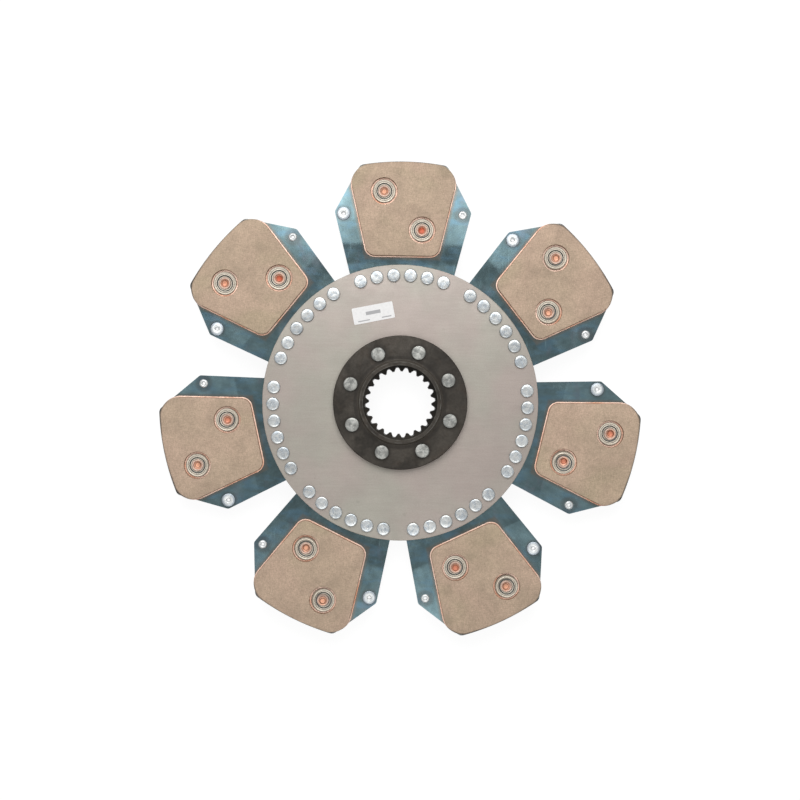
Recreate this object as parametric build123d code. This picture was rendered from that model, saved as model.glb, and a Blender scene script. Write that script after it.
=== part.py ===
from build123d import *
from math import acos, atan2, cos, degrees, pi, radians, sin, sqrt, tan
import os

# Seven-paddle dry clutch disc, lying flat on the long end of its splined hub.
# Millimetres, +Z up. The hub axis is Z and the rear end of the hub is at z = 0.
# Paddle 1 points along +Y, and the others follow counter-clockwise seen from the front.
# Each paddle has a front and a rear side that are alike, turned half round its own axis.

# Counts
PADDLES = 7
HUB_RIVET_COUNT = 8
RIVETS_PER_PADDLE = 6

# Involute spline of the hub
SPLINE_TEETH = 24
SPLINE_MODULE = 2.0
SPLINE_PRESSURE_ANGLE = 30.0
TOOTH_ADDENDUM = 1.5        # pitch circle to the tooth tips
TOOTH_DEDENDUM = 1.25       # pitch circle to the bottom of the tooth spaces
PROFILE_SHIFT = 0.4         # tooth profile moved outwards, which widens the spaces
ROOT_ROUND = 0.65           # depth of the rounded bottom of a tooth space
SPLINE_TURN = 5.6           # degrees from +X to the first tooth space

# Splined hub
BARREL_WALL = 4.35          # bottom of a tooth space to the outside of the barrel
BARREL_DROP = 22.0          # rear end of the hub to the plane where the leaves meet
FLANGE_T = 6.0
COLLAR_H = 3.0              # front collar above the flange
HUB_RIVET_OFFSET = 8.2      # rivet circle outside the barrel
HUB_RIVET_TURN = 25.5       # degrees from +X to the first hub rivet
FLANGE_MARGIN = 10.3        # rivet circle to the edge of the flange
MOUTH_LIP = 1.2             # width of the chamfer beyond the tooth spaces
HUB_EDGE = 0.8              # chamfer on the outer edges of the hub
COLLAR_FILLET = 1.8

# Carrier disc
CARRIER_R = 100.0
CARRIER_T = 3.0
CARRIER_EDGE = 0.4          # rounding of the rim
RIVET_TO_RIM = 7.7          # carrier rivet circle inside the rim
RIVET_PITCH_ANGLE = 7.6     # degrees between neighbouring carrier rivets

# Cushion leaves, two for each paddle
DISC_R = 175.0
LEAF_T = 1.0
CUSHION_GAP = 1.2           # free gap between the leaves of a pair, out at the facings
ROOT_INSET = 8.3            # carrier rivet circle to the inner end of a leaf
BEND_CLEARANCE = 1.0        # carrier rim to the start of the sloping part of a leaf
CREASE_INSET = 9.3          # inner edge of the facing to the crease of a leaf
WING_DROP = 37.0            # outer rim to the widest place of a leaf
WING_HALF = 49.6
WING_ROUND = 3.0
TOP_HALF = 31.6             # half the width of a leaf at the outer rim
TOP_ROUND = 5.0
ROOT_MARGIN = 6.5           # outermost carrier rivet axis to the side of a leaf, sideways

# Backing plates and friction pads
RIM_STEP = 0.7              # rim of the leaves to the rim of the facings
BACKING_T = 1.2
PAD_T = 3.0
CARRIER_TO_PAD = 5.3        # carrier rim to the inner edge of a backing plate
PAD_ROOT_HALF = 26.3        # half the width of a backing plate at its inner edge
PAD_SIDE_ANGLE = 13.3
PAD_INNER_ROUND = 8.0
PAD_OUTER_ROUND = 15.0
PAD_STEP = 1.1              # backing plate showing round the friction pad
PAD_CHAMFER = 0.3
RECESS_R = 9.75             # well in the friction pad round a rivet

# Pad rivets, with a dished washer under each rolled end
PAD_RIVET_X = 13.9
PAD_RIVET_INNER = 19.7      # inner edge of the backing plate to the inner rivet
PAD_RIVET_OUTER = 21.3      # outer rim of the facing to the outer rivet
PAD_RIVET_R = 3.5
PAD_RIVET_BORE_R = 2.6
PAD_RIVET_FLOOR = 2.2       # solid metal below the bore, above the head
PAD_HEAD_R = 6.0
PAD_HEAD_H = 0.8
ROLLED_R = 4.4
ROLLED_H = 0.9
WASHER_R = 8.4
WASHER_T = 1.4
WASHER_DISH_R = 5.35
WASHER_DISH_RUN = 0.6       # slope of the dish's wall, measured outwards
WASHER_SEAT_T = 0.6         # metal left under the dish of a washer
WASHER_EDGE = 0.3           # bevel round a washer's outer edge
WASHER_GROOVE_W = 0.8       # ring pressed into a washer between its dish and its edge
WASHER_GROOVE_DEPTH = 0.25
HEAD_HOLE_MARGIN = 1.0      # hole in the opposite leaf round a pad rivet head

# Tubular edge rivets that hold the two leaves of a paddle together
EDGE_RIVET_INSET = 6.4      # widest place of the leaf to the rivet axis, sideways
EDGE_RIVET_DROP = 1.4       # widest place of the leaf to the rivet axis, inwards
EDGE_RIVET_R = 2.1
EDGE_BORE_R = 1.2
EDGE_HEAD_R = 4.85
EDGE_HEAD_H = 1.1
EDGE_TAIL_R = 3.1
EDGE_TAIL_H = 0.9

# Solid rivets of the carrier and of the hub
CARRIER_RIVET_R = 2.5
CARRIER_HEAD_R = 4.75
CARRIER_HEAD_H = 1.9
HUB_RIVET_R = 3.0
HUB_HEAD_R = 5.1
HUB_HEAD_H = 1.7
HEAD_BAND = 0.35            # straight edge of a rivet head, as a share of its height
HEAD_CROWN = 0.55           # flat top of a rivet head, as a share of its radius

# Blank paper label on the front of the carrier
LABEL_L = 30.0
LABEL_W = 12.0
LABEL_T = 0.15
LABEL_ROUND = 0.8
LABEL_INSET = 24.6          # carrier rivet circle to the middle of the label
LABEL_TURN = 107.6          # degrees from +X to the middle of the label
LABEL_TILT = 11.6           # degrees from +X to the label's long side

# Clearances
RIVET_CLEARANCE = 0.1       # round every rivet shank
BARREL_CLEARANCE = 0.1      # carrier bore round the hub barrel
CUT = 1.0                   # run of a cutter past the metal

# Radii of the hub
pitch_r = SPLINE_MODULE * SPLINE_TEETH / 2
base_r = pitch_r * cos(radians(SPLINE_PRESSURE_ANGLE))
tip_r = pitch_r + PROFILE_SHIFT - TOOTH_ADDENDUM
root_r = pitch_r + PROFILE_SHIFT + TOOTH_DEDENDUM
barrel_r = root_r + BARREL_WALL
mouth_r = root_r + MOUTH_LIP
hub_rivet_circle_r = barrel_r + HUB_RIVET_OFFSET
flange_r = hub_rivet_circle_r + FLANGE_MARGIN

# Heights, measured from the plane where the two leaves of a paddle meet
carrier_z = LEAF_T
flange_z = carrier_z + CARRIER_T
collar_z = flange_z + FLANGE_T
hub_top_z = collar_z + COLLAR_H
leaf_under_z = CUSHION_GAP / 2
backing_z = leaf_under_z + LEAF_T
pad_z = backing_z + BACKING_T

# Places on a paddle, along its own axis and across it
rivet_circle_r = CARRIER_R - RIVET_TO_RIM
leaf_root_r = rivet_circle_r - ROOT_INSET
wing_y = DISC_R - WING_DROP
facing_r = DISC_R - RIM_STEP
pad_inner_y = CARRIER_R + CARRIER_TO_PAD
bend_y = CARRIER_R + BEND_CLEARANCE
crease_y = pad_inner_y + CREASE_INSET
pad_rivet_spots = [
    (-PAD_RIVET_X, facing_r - PAD_RIVET_OUTER),
    (PAD_RIVET_X, pad_inner_y + PAD_RIVET_INNER),
]
edge_rivet_spot = (-(WING_HALF - EDGE_RIVET_INSET), wing_y - EDGE_RIVET_DROP)

over = Rot(0, 180, 0)       # turns a piece of the front side over to the rear side


def polar(radius, angle):
    """Point at a radius and an angle in degrees from +X."""
    return (radius * cos(radians(angle)), radius * sin(radians(angle)))


def turned(*points):
    """Solid of revolution about Z from an outline of (radius, height) points."""
    outline = Polyline(*[(radius, 0, z) for radius, z in points], close=True)
    return revolve(make_face(outline), Axis.Z)


def plate(face, low, thickness):
    """Flat piece with a plan outline, standing on a height."""
    return Pos(0, 0, low) * extrude(face, thickness)


def drilled(piece, spots, radius):
    """The piece with a round hole through it at each spot."""
    box = piece.bounding_box()
    height = box.size.Z + 2 * CUT
    drill = Cylinder(radius, height, align=(Align.CENTER, Align.CENTER, Align.MIN))
    return piece - [Pos(x, y, box.min.Z - CUT) * drill for x, y in spots]


def ring_edges(piece, radius, z):
    """Circular edges of a turned piece at a radius and a height."""
    found = []
    for edge in piece.edges().filter_by(GeomType.CIRCLE):
        centre = edge.arc_center
        if abs(edge.radius - radius) < 1e-4 and abs(centre.Z - z) < 1e-4:
            found.append(edge)
    return found


def involute(angle):
    """Involute function of an angle in radians."""
    return tan(angle) - angle


def space_half_angle(radius):
    """Half the angle of a tooth space at a radius, in degrees."""
    pressure = radians(SPLINE_PRESSURE_ANGLE)
    widening = 2 * PROFILE_SHIFT / SPLINE_MODULE * tan(pressure) / SPLINE_TEETH
    at_pitch = pi / (2 * SPLINE_TEETH) + widening + involute(pressure)
    return degrees(at_pitch - involute(acos(base_r / radius)))


def tooth_space():
    """Plan of one tooth space about +X: two involute flanks and a rounded bottom."""
    start_r = tip_r - CUT / 4
    end_r = root_r - ROOT_ROUND
    radii = (start_r, (start_r + end_r) / 2, end_r)
    lower = [polar(r, -space_half_angle(r)) for r in radii]
    upper = [polar(r, space_half_angle(r)) for r in radii]
    edges = Curve() + [
        ThreePointArc(*lower),
        ThreePointArc(lower[-1], (root_r, 0), upper[-1]),
        ThreePointArc(*upper),
        Line(upper[0], lower[0]),
    ]
    return make_face(edges)


def splined_hub():
    """Hub with a long rear barrel, a riveted flange, a low front collar and 24 teeth."""
    rear_z = -BARREL_DROP
    mouth_depth = mouth_r - tip_r
    hub = turned(
        (tip_r, rear_z + mouth_depth),
        (mouth_r, rear_z),
        (barrel_r - HUB_EDGE, rear_z),
        (barrel_r, rear_z + HUB_EDGE),
        (barrel_r, flange_z),
        (flange_r, flange_z),
        (flange_r, collar_z - HUB_EDGE),
        (flange_r - HUB_EDGE, collar_z),
        (barrel_r, collar_z),
        (barrel_r, hub_top_z - HUB_EDGE),
        (barrel_r - HUB_EDGE, hub_top_z),
        (mouth_r, hub_top_z),
        (tip_r, hub_top_z - mouth_depth),
    )
    hub = fillet(ring_edges(hub, barrel_r, collar_z), COLLAR_FILLET)
    space = extrude(tooth_space(), hub_top_z - rear_z + 2 * CUT)
    pitch = 360 / SPLINE_TEETH
    turns = [SPLINE_TURN + pitch * i for i in range(SPLINE_TEETH)]
    hub = hub - [Pos(0, 0, rear_z - CUT) * Rot(0, 0, turn) * space for turn in turns]
    return drilled(hub, hub_rivet_spots(), HUB_RIVET_R + RIVET_CLEARANCE)


def hub_rivet_spots():
    """Places of the hub rivets."""
    pitch = 360 / HUB_RIVET_COUNT
    turns = [HUB_RIVET_TURN + pitch * i for i in range(HUB_RIVET_COUNT)]
    return [polar(hub_rivet_circle_r, turn) for turn in turns]


def carrier_rivet_spots():
    """Places of the carrier rivets of the paddle on +Y."""
    middle = (RIVETS_PER_PADDLE - 1) / 2
    turns = [90 + RIVET_PITCH_ANGLE * (i - middle) for i in range(RIVETS_PER_PADDLE)]
    return [polar(rivet_circle_r, turn) for turn in turns]


def carrier_disc():
    """Round plate between the hub flange and the roots of the leaves."""
    disc = plate(Circle(CARRIER_R), carrier_z, CARRIER_T)
    rims = ring_edges(disc, CARRIER_R, carrier_z) + ring_edges(disc, CARRIER_R, flange_z)
    disc = fillet(rims, CARRIER_EDGE)
    disc = drilled(disc, [(0, 0)], barrel_r + BARREL_CLEARANCE)
    disc = drilled(disc, hub_rivet_spots(), HUB_RIVET_R + RIVET_CLEARANCE)
    spots = []
    for turn in paddle_turns():
        for x, y in carrier_rivet_spots():
            spots.append(polar(rivet_circle_r, turn + degrees(atan2(y, x))))
    return drilled(disc, spots, CARRIER_RIVET_R + RIVET_CLEARANCE)


def paddle_turns():
    """Angle of each paddle from the first one, in degrees."""
    return [360 / PADDLES * i for i in range(PADDLES)]


def on_circle(half_at_axis, slope, radius):
    """Point of a circle about the hub axis on the line x = half_at_axis + slope * y."""
    a = 1 + slope ** 2
    b = half_at_axis * slope
    y = (sqrt(b ** 2 - a * (half_at_axis ** 2 - radius ** 2)) - b) / a
    return (half_at_axis + slope * y, y)


def mirrored(point):
    """The same place on the other side of the paddle's axis."""
    return (-point[0], point[1])


def leaf_face():
    """Plan of a leaf: tapered root, rounded wings and a rim concentric with the hub."""
    wing = (WING_HALF, wing_y)
    rivet_x, rivet_y = carrier_rivet_spots()[0]
    slope = (WING_HALF - rivet_x - ROOT_MARGIN) / (wing_y - rivet_y)
    root = on_circle(WING_HALF - slope * wing_y, slope, leaf_root_r)
    top = (TOP_HALF, sqrt(DISC_R ** 2 - TOP_HALF ** 2))
    edges = Curve() + [
        ThreePointArc(mirrored(root), (0, leaf_root_r), root),
        Polyline(root, wing, top),
        ThreePointArc(top, (0, DISC_R), mirrored(top)),
        Polyline(mirrored(top), mirrored(wing), mirrored(root)),
    ]
    face = make_face(edges)
    corners = face.vertices().sort_by(Axis.Y)
    face = fillet(corners[2:4], WING_ROUND)
    corners = face.vertices().sort_by(Axis.Y)
    return fillet(corners[-2:], TOP_ROUND)


def leaf():
    """Front leaf: flat root, a slope from the carrier rim to the crease, flat wings."""
    path = [
        (0, 0, 0),
        (0, bend_y, 0),
        (0, crease_y, leaf_under_z),
        (0, DISC_R + CUT, leaf_under_z),
    ]
    upper = [(x, y, z + LEAF_T) for x, y, z in reversed(path)]
    profile = make_face(Polyline(*path, *upper, close=True))
    sheet = extrude(profile, WING_HALF + CUT, both=True)
    piece = sheet & plate(leaf_face(), -CUT, LEAF_T + leaf_under_z + 2 * CUT)
    piece = drilled(piece, carrier_rivet_spots(), CARRIER_RIVET_R + RIVET_CLEARANCE)
    edge_spots = [edge_rivet_spot, mirrored(edge_rivet_spot)]
    piece = drilled(piece, edge_spots, EDGE_RIVET_R + RIVET_CLEARANCE)
    piece = drilled(piece, pad_rivet_spots, PAD_RIVET_R + RIVET_CLEARANCE)
    head_spots = [mirrored(spot) for spot in pad_rivet_spots]
    return drilled(piece, head_spots, PAD_HEAD_R + HEAD_HOLE_MARGIN)


def facing_face(step):
    """Plan of a backing plate, or of the friction pad set in from it by a step."""
    angle = radians(PAD_SIDE_ANGLE)
    inner_y = pad_inner_y + step
    inner_half = PAD_ROOT_HALF + step * tan(angle) - step / cos(angle)
    inner = (inner_half, inner_y)
    outer = on_circle(inner_half - tan(angle) * inner_y, tan(angle), facing_r)
    edges = Curve() + [
        Polyline(mirrored(outer), mirrored(inner), inner, outer),
        ThreePointArc(outer, (0, facing_r), mirrored(outer)),
    ]
    face = make_face(edges)
    corners = face.vertices().sort_by(Axis.Y)
    face = fillet(corners[:2], PAD_INNER_ROUND - step)
    corners = face.vertices().sort_by(Axis.Y)
    return fillet(corners[-2:], PAD_OUTER_ROUND - step)


def backing():
    """Copper-coloured plate between a leaf and its friction pad."""
    piece = plate(facing_face(0), backing_z, BACKING_T)
    return drilled(piece, pad_rivet_spots, PAD_RIVET_R + RIVET_CLEARANCE)


def pad():
    """Friction pad with a well round each of its two rivets."""
    piece = plate(facing_face(PAD_STEP), pad_z, PAD_T)
    rim = piece.faces().sort_by(Axis.Z)[-1].outer_wire().edges()
    piece = chamfer(rim, PAD_CHAMFER)
    return drilled(piece, pad_rivet_spots, RECESS_R)


def washer(spot):
    """Dished and grooved washer in a well, under the rolled end of the rivet."""
    hole_r = PAD_RIVET_R + RIVET_CLEARANCE
    dish_r = WASHER_DISH_R + WASHER_DISH_RUN
    edge_r = WASHER_R - WASHER_EDGE
    groove_r = (dish_r + edge_r) / 2
    groove_z = WASHER_T - WASHER_GROOVE_DEPTH
    floor_half = WASHER_GROOVE_W / 2 - WASHER_GROOVE_DEPTH
    ring = turned(
        (hole_r, 0),
        (WASHER_R, 0),
        (WASHER_R, WASHER_T - WASHER_EDGE),
        (edge_r, WASHER_T),
        (groove_r + WASHER_GROOVE_W / 2, WASHER_T),
        (groove_r + floor_half, groove_z),
        (groove_r - floor_half, groove_z),
        (groove_r - WASHER_GROOVE_W / 2, WASHER_T),
        (dish_r, WASHER_T),
        (WASHER_DISH_R, WASHER_SEAT_T),
        (hole_r, WASHER_SEAT_T),
    )
    return Pos(spot[0], spot[1], pad_z) * ring


def pad_rivet(spot):
    """Semi-tubular rivet, its head between the leaves and its end rolled over the washer."""
    seat = LEAF_T + BACKING_T + WASHER_SEAT_T
    top = seat + ROLLED_H
    lip_r = (PAD_RIVET_BORE_R + ROLLED_R) / 2
    body = turned(
        (0, -PAD_HEAD_H),
        (PAD_HEAD_R, -PAD_HEAD_H),
        (PAD_HEAD_R, 0),
        (PAD_RIVET_R, 0),
        (PAD_RIVET_R, seat),
        (ROLLED_R, seat),
        (ROLLED_R, top - ROLLED_H / 2),
        (lip_r, top),
        (PAD_RIVET_BORE_R, top - ROLLED_H / 2),
        (PAD_RIVET_BORE_R, PAD_RIVET_FLOOR),
        (0, PAD_RIVET_FLOOR),
    )
    return Pos(spot[0], spot[1], leaf_under_z) * body


def edge_rivet():
    """Tubular rivet through both leaves, its head on the front and its tail behind."""
    front = backing_z
    tube = turned(
        (EDGE_BORE_R, -front - EDGE_TAIL_H),
        (EDGE_RIVET_R, -front - EDGE_TAIL_H),
        (EDGE_TAIL_R, -front - EDGE_TAIL_H / 2),
        (EDGE_TAIL_R, -front),
        (EDGE_RIVET_R, -front),
        (EDGE_RIVET_R, front),
        (EDGE_HEAD_R, front),
        (EDGE_HEAD_R, front + EDGE_HEAD_H / 2),
        (EDGE_HEAD_R - EDGE_HEAD_H / 2, front + EDGE_HEAD_H),
        (EDGE_BORE_R, front + EDGE_HEAD_H),
    )
    return Pos(*edge_rivet_spot, 0) * tube


def solid_rivet(shank_r, head_r, head_h, low, high):
    """Solid rivet between two heights, with a low crowned head at each end."""
    band = head_h * HEAD_BAND
    crown_r = head_r * HEAD_CROWN
    return turned(
        (0, low - head_h),
        (crown_r, low - head_h),
        (head_r, low - band),
        (head_r, low),
        (shank_r, low),
        (shank_r, high),
        (head_r, high),
        (head_r, high + band),
        (crown_r, high + head_h),
        (0, high + head_h),
    )


def paper_label():
    """Blank label stuck on the front of the carrier."""
    face = RectangleRounded(LABEL_L, LABEL_W, LABEL_ROUND)
    x, y = polar(rivet_circle_r - LABEL_INSET, LABEL_TURN)
    return Pos(x, y, flange_z) * Rot(0, 0, LABEL_TILT) * extrude(face, LABEL_T)


def round_the_disc(pieces):
    """All pieces of one paddle repeated on every paddle."""
    return [Rot(0, 0, turn) * piece for turn in paddle_turns() for piece in pieces]


def save(name, pieces):
    """Lift the pieces to the resting height and write them as one node."""
    solids = []
    for piece in pieces:
        solids += (Pos(0, 0, BARREL_DROP) * piece).solids()
    shape = solids[0] if len(solids) == 1 else Compound(solids)
    export_step(shape, f"parts/{name}.step")


def build():
    """Make and write every piece of the disc."""
    os.makedirs("parts", exist_ok=True)
    save("splined_hub", [splined_hub()])
    save("carrier_disc", [carrier_disc()])
    hub_rivet = solid_rivet(HUB_RIVET_R, HUB_HEAD_R, HUB_HEAD_H, carrier_z, collar_z)
    save("hub_rivets", [Pos(x, y) * hub_rivet for x, y in hub_rivet_spots()])
    rivet = solid_rivet(CARRIER_RIVET_R, CARRIER_HEAD_R, CARRIER_HEAD_H, -LEAF_T, flange_z)
    save("carrier_rivets", round_the_disc([Pos(x, y) * rivet for x, y in carrier_rivet_spots()]))

    plates = {"leaf": leaf(), "backing": backing(), "pad": pad()}
    for i, turn in enumerate(paddle_turns(), start=1):
        for name, piece in plates.items():
            save(f"front_{name}_{i}", [Rot(0, 0, turn) * piece])
            save(f"rear_{name}_{i}", [Rot(0, 0, turn) * over * piece])

    rivets = [pad_rivet(spot) for spot in pad_rivet_spots]
    washers = [washer(spot) for spot in pad_rivet_spots]
    save("front_pad_rivets", round_the_disc(rivets))
    save("rear_pad_rivets", round_the_disc([over * piece for piece in rivets]))
    save("front_pad_washers", round_the_disc(washers))
    save("rear_pad_washers", round_the_disc([over * piece for piece in washers]))
    tube = edge_rivet()
    save("edge_rivets", round_the_disc([tube, over * tube]))
    save("paper_label", [paper_label()])


build()
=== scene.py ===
import math
import random

import bpy
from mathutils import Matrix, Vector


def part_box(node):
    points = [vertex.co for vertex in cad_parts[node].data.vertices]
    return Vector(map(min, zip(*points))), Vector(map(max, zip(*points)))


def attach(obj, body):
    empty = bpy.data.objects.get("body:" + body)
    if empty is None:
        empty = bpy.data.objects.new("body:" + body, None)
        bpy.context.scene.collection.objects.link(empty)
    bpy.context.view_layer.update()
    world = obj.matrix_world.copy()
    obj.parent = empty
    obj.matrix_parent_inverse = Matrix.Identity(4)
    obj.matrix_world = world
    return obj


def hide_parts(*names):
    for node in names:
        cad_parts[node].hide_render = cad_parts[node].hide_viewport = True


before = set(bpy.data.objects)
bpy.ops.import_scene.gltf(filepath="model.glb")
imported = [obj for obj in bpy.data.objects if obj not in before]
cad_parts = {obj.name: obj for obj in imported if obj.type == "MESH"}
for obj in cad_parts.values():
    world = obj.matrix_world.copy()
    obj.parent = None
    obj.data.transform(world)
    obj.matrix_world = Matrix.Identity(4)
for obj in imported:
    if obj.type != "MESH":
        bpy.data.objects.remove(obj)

bl_info = {
    "name": "Clutch disc looks",
    "version": (1, 0, 0),
    "blender": (4, 5, 0),
    "location": "View3D > Sidebar > Clutch disc",
    "description": "Detailed pieces, finishes and stage for a seven-paddle clutch disc",
    "category": "Object",
}

# Lengths are in millimetres in this file and become metres when a piece is made.
MM = 0.001
METRE = 1000.0

# Two places closer than this are the same one, in metres
SAME = 0.001 * MM


def low(node):
    """Lowest corner of a node's box, in millimetres."""
    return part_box(node)[0] * METRE


def high(node):
    """Highest corner of a node's box, in millimetres."""
    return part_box(node)[1] * METRE


# Places read from the frame. Paddle 1 points along +Y.
PADDLES = 7
MID_Z = low("front_leaf_1").z
LEAF_TOP_Z = high("front_leaf_1").z
BACKING_Z = low("front_backing_1").z
PAD_Z = low("front_pad_1").z
PAD_TOP_Z = high("front_pad_1").z
CARRIER_Z = low("carrier_disc").z
FLANGE_Z = high("carrier_disc").z
HUB_TOP_Z = high("splined_hub").z
CARRIER_R = high("carrier_disc").x
DISC_R = high("front_leaf_1").y
FACING_R = high("front_pad_1").y
BACKING_INNER_Y = low("front_backing_1").y

# Sheet thicknesses and the form of the leaves
LEAF_T = CARRIER_Z - MID_Z
LEAF_LIFT = LEAF_TOP_Z - LEAF_T - MID_Z
BEND_Y = CARRIER_R + 1.0
CREASE_Y = BACKING_INNER_Y + 9.3
CREASE_LENGTH = 10.0        # shorter edges along a bend belong to the sheet's rim
WING_X, WING_Y = 49.6, DISC_R - 37.0
WING_ROUND = 3.0
TOP_X = 31.6
TOP_ROUND = 5.0
ROOT_MARGIN = 6.5

# Backing plates and friction pads
BACKING_T = PAD_Z - BACKING_Z
PAD_STEP = 1.1
FACING_ROOT_X = 26.3
FACING_ANGLE = math.radians(13.3)
FACING_INNER_ROUND = 8.0
FACING_OUTER_ROUND = 15.0
WELL_R = 9.75
PAD_RIVET_SPOTS = [(-13.9, FACING_R - 21.3), (13.9, BACKING_INNER_Y + 19.7)]

# Rivets
CARRIER_RIVET_CIRCLE = CARRIER_R - 7.7
CARRIER_RIVET_PITCH = 7.6
RIVETS_PER_PADDLE = 6
CARRIER_HEAD_R = 4.75
CARRIER_SHANK_R = 2.5
LEAF_ROOT_R = CARRIER_RIVET_CIRCLE - 8.3
HUB_RIVET_CIRCLE = 38.2
HUB_RIVET_TURN = 25.5
HUB_RIVETS = 8
HUB_HEAD_R = 5.1
HUB_SHANK_R = 3.0
PAD_RIVET_R = 3.5
HEAD_HOLE_R = 7.0
PAD_HEAD_R = 6.0
PAD_HEAD_H = 0.8
PAD_BORE_R = 2.6
ROLL_MARKS_R = 4.6          # just outside the rolled end of a pad rivet
WASHER_R = 8.4
WASHER_T = 1.4
WASHER_SEAT = 0.6           # metal under the dish of a washer
EDGE_RIVET_SPOT = (-(WING_X - 6.4), WING_Y - 1.4)
EDGE_SHANK_R = 2.1
EDGE_BORE_R = 1.2
EDGE_HEAD_R = 4.85
EDGE_TAIL_R = 3.1
HOLE_CLEARANCE = 0.1
RIVET_TILT = 0.0            # largest lean of a set rivet in radians: they all sit flat

# Splined hub
TEETH = 24
SAMPLES_PER_TOOTH = 24
PITCH_R = 24.0
PRESSURE_ANGLE = math.radians(30)
PROFILE_SHIFT = 0.4
TIP_R = PITCH_R + PROFILE_SHIFT - 1.5
ROOT_R = PITCH_R + PROFILE_SHIFT + 1.25
ROOT_ROUND = 0.65
SPLINE_TURN = 5.6
MOUTH_R = ROOT_R + 1.2
BARREL_R = ROOT_R + 4.35
FLANGE_R = 48.5
COLLAR_Z = HUB_TOP_Z - 3.0
COLLAR_FILLET = 1.8
HUB_EDGE = 0.8
PLATE_EDGE = 0.4            # rounded rim of the carrier
FLANGE_EDGE = 0.5           # rounded rear rim of the flange

# Blank label
LABEL_SIZE = (30.0, 12.0)
LABEL_TURN = 107.6
LABEL_R = CARRIER_RIVET_CIRCLE - 24.6
LABEL_TILT = 11.6
LABEL_ROUND = 0.8

# Both sides of a paddle, and whether a piece is turned over for it
SIDES = (("front", False), ("rear", True))

# Run of a round cutter, half of it on each side of its place
CUTTER_RUN = 30.0

# Name of the mesh attribute that keeps a turned piece's coordinates about its own axis
OWN_PLACE = "own_place"
RING_OFFSET = 2.4


def srgb(red, green, blue):
    """Scene-linear colour of a display colour given in 0 to 255."""
    out = []
    for value in (red, green, blue):
        v = value / 255
        out.append(v / 12.92 if v <= 0.04045 else ((v + 0.055) / 1.055) ** 2.4)
    return tuple(out)


def colour(name, description, red, green, blue):
    """A colour property with its default."""
    return bpy.props.FloatVectorProperty(
        name=name, description=description, subtype="COLOR", size=3,
        min=0.0, max=1.0, default=srgb(red, green, blue),
    )


def number(name, description, default, **more):
    """A number property with its default."""
    return bpy.props.FloatProperty(name=name, description=description, default=default, **more)


def length(name, description, default):
    """A length property in metres, its default given in millimetres."""
    return number(name, description, default * MM, min=0.0, unit="LENGTH", precision=5)


class CLUTCH_PG_sizes(bpy.types.PropertyGroup):
    """Small sizes of the visible finish"""

    pad_round: length("Pad edge round", "Rounding of the friction pad's rim", 0.5)
    well_round: length("Well edge round", "Rounding round each rivet well", 0.25)
    sheet_round: length("Sheet edge round", "Rounding of stamped sheet edges", 0.15)
    copper_line: length("Copper line", "Bright copper seen round a pad", 0.85)
    bend_round: length("Bend run", "Run of metal rounded at each bend of a leaf", 1.6)
    carrier_dome: length("Carrier rivet head", "Height of a carrier rivet head", 1.9)
    hub_dome: length("Hub rivet head", "Height of a hub rivet head", 1.7)
    head_dimple: length("Head dimple", "Depth of the dimple in a set rivet head", 0.03)
    label_lift: length("Label thickness", "Thickness of the paper label", 0.15)


class CLUTCH_PG_colours(bpy.types.PropertyGroup):
    """Colours of the finishes"""

    friction: colour("Friction", "Friction material", 182, 160, 138)
    friction_warm: colour("Friction, warm", "Pinkish patches of the pads", 188, 163, 142)
    friction_edge: colour("Friction edge", "Cut edge of the pads", 158, 124, 100)
    copper: colour("Copper", "Backing plates", 224, 194, 176)
    braze_and_shade: colour("Braze line", "Dark line between a backing plate and its pad", 150, 112, 90)
    leaf: colour("Blued leaf", "Blued spring steel", 68, 85, 88)
    leaf_bright: colour("Blued leaf, bright", "Lighter blued steel", 92, 114, 119)
    leaf_rim: colour("Leaf rim", "Scorched outer edge of the leaves", 52, 50, 48)
    carrier: colour("Carrier", "Carrier disc steel", 151, 147, 137)
    carrier_pink: colour("Carrier, pinkish", "Pinkish patches of the carrier", 155, 144, 137)
    hub: colour("Hub", "Dark phosphated steel", 59, 55, 50)
    zinc: colour("Zinc", "Bright zinc rivets", 179, 181, 180)
    zinc_shade: colour("Zinc, dull", "Bluish dull marks on the zinc rivets", 120, 130, 139)
    hub_rivet: colour("Hub rivet", "Grey rivets of the hub", 136, 136, 132)
    hub_rivet_shade: colour("Hub rivet, dull", "Dull marks on the hub rivets", 96, 98, 96)
    washer: colour("Washer", "Dished washers", 184, 175, 160)
    washer_grime_and_shade: colour("Washer groove", "Grime in the washers' grooves", 90, 96, 98)
    rivet_roll: colour("Rolled end", "Rolled ends of the pad rivets", 192, 164, 148)
    rivet_bore: colour("Rivet bore", "Copper inside of the pad rivets", 206, 150, 120)
    rivet_dark: colour("Rivet bore, dark", "Darker copper in some rivets", 170, 78, 46)
    paper: colour("Paper", "Blank label", 238, 237, 236)
    ink: colour("Ink", "Plain bars on the label", 150, 150, 152)


class CLUTCH_PG_stage(bpy.types.PropertyGroup):
    """Camera and light"""

    camera_height: number("Camera height", "Camera above the pads", 1.3, min=0.1, unit="LENGTH")
    view_width: number("View width", "Width seen at the pads", 0.5787, min=0.1, unit="LENGTH")
    camera_roll: number("Camera roll", "Turn of the camera about the hub axis",
                        math.radians(0.87), unit="ROTATION")
    key_power: number("Key light", "Power of the large soft lamp", 11.2, min=0.0, unit="POWER")
    fill_power: number("Fill light", "Power of the opposite soft lamp", 4.4, min=0.0,
                       unit="POWER")
    sky_strength: number("Room light", "Strength of the even light of the room", 0.2,
                         min=0.0, max=1.0)


# Stains and tints that are no setting
GREENISH = srgb(170, 156, 128)
PAD_STAIN = srgb(138, 122, 104)
BLUE_TINT = srgb(76, 106, 124)
VIOLET_TINT = srgb(88, 92, 100)
PAD_SHADOW = srgb(92, 84, 74)
RUST = srgb(60, 50, 42)


# Shader building


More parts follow.
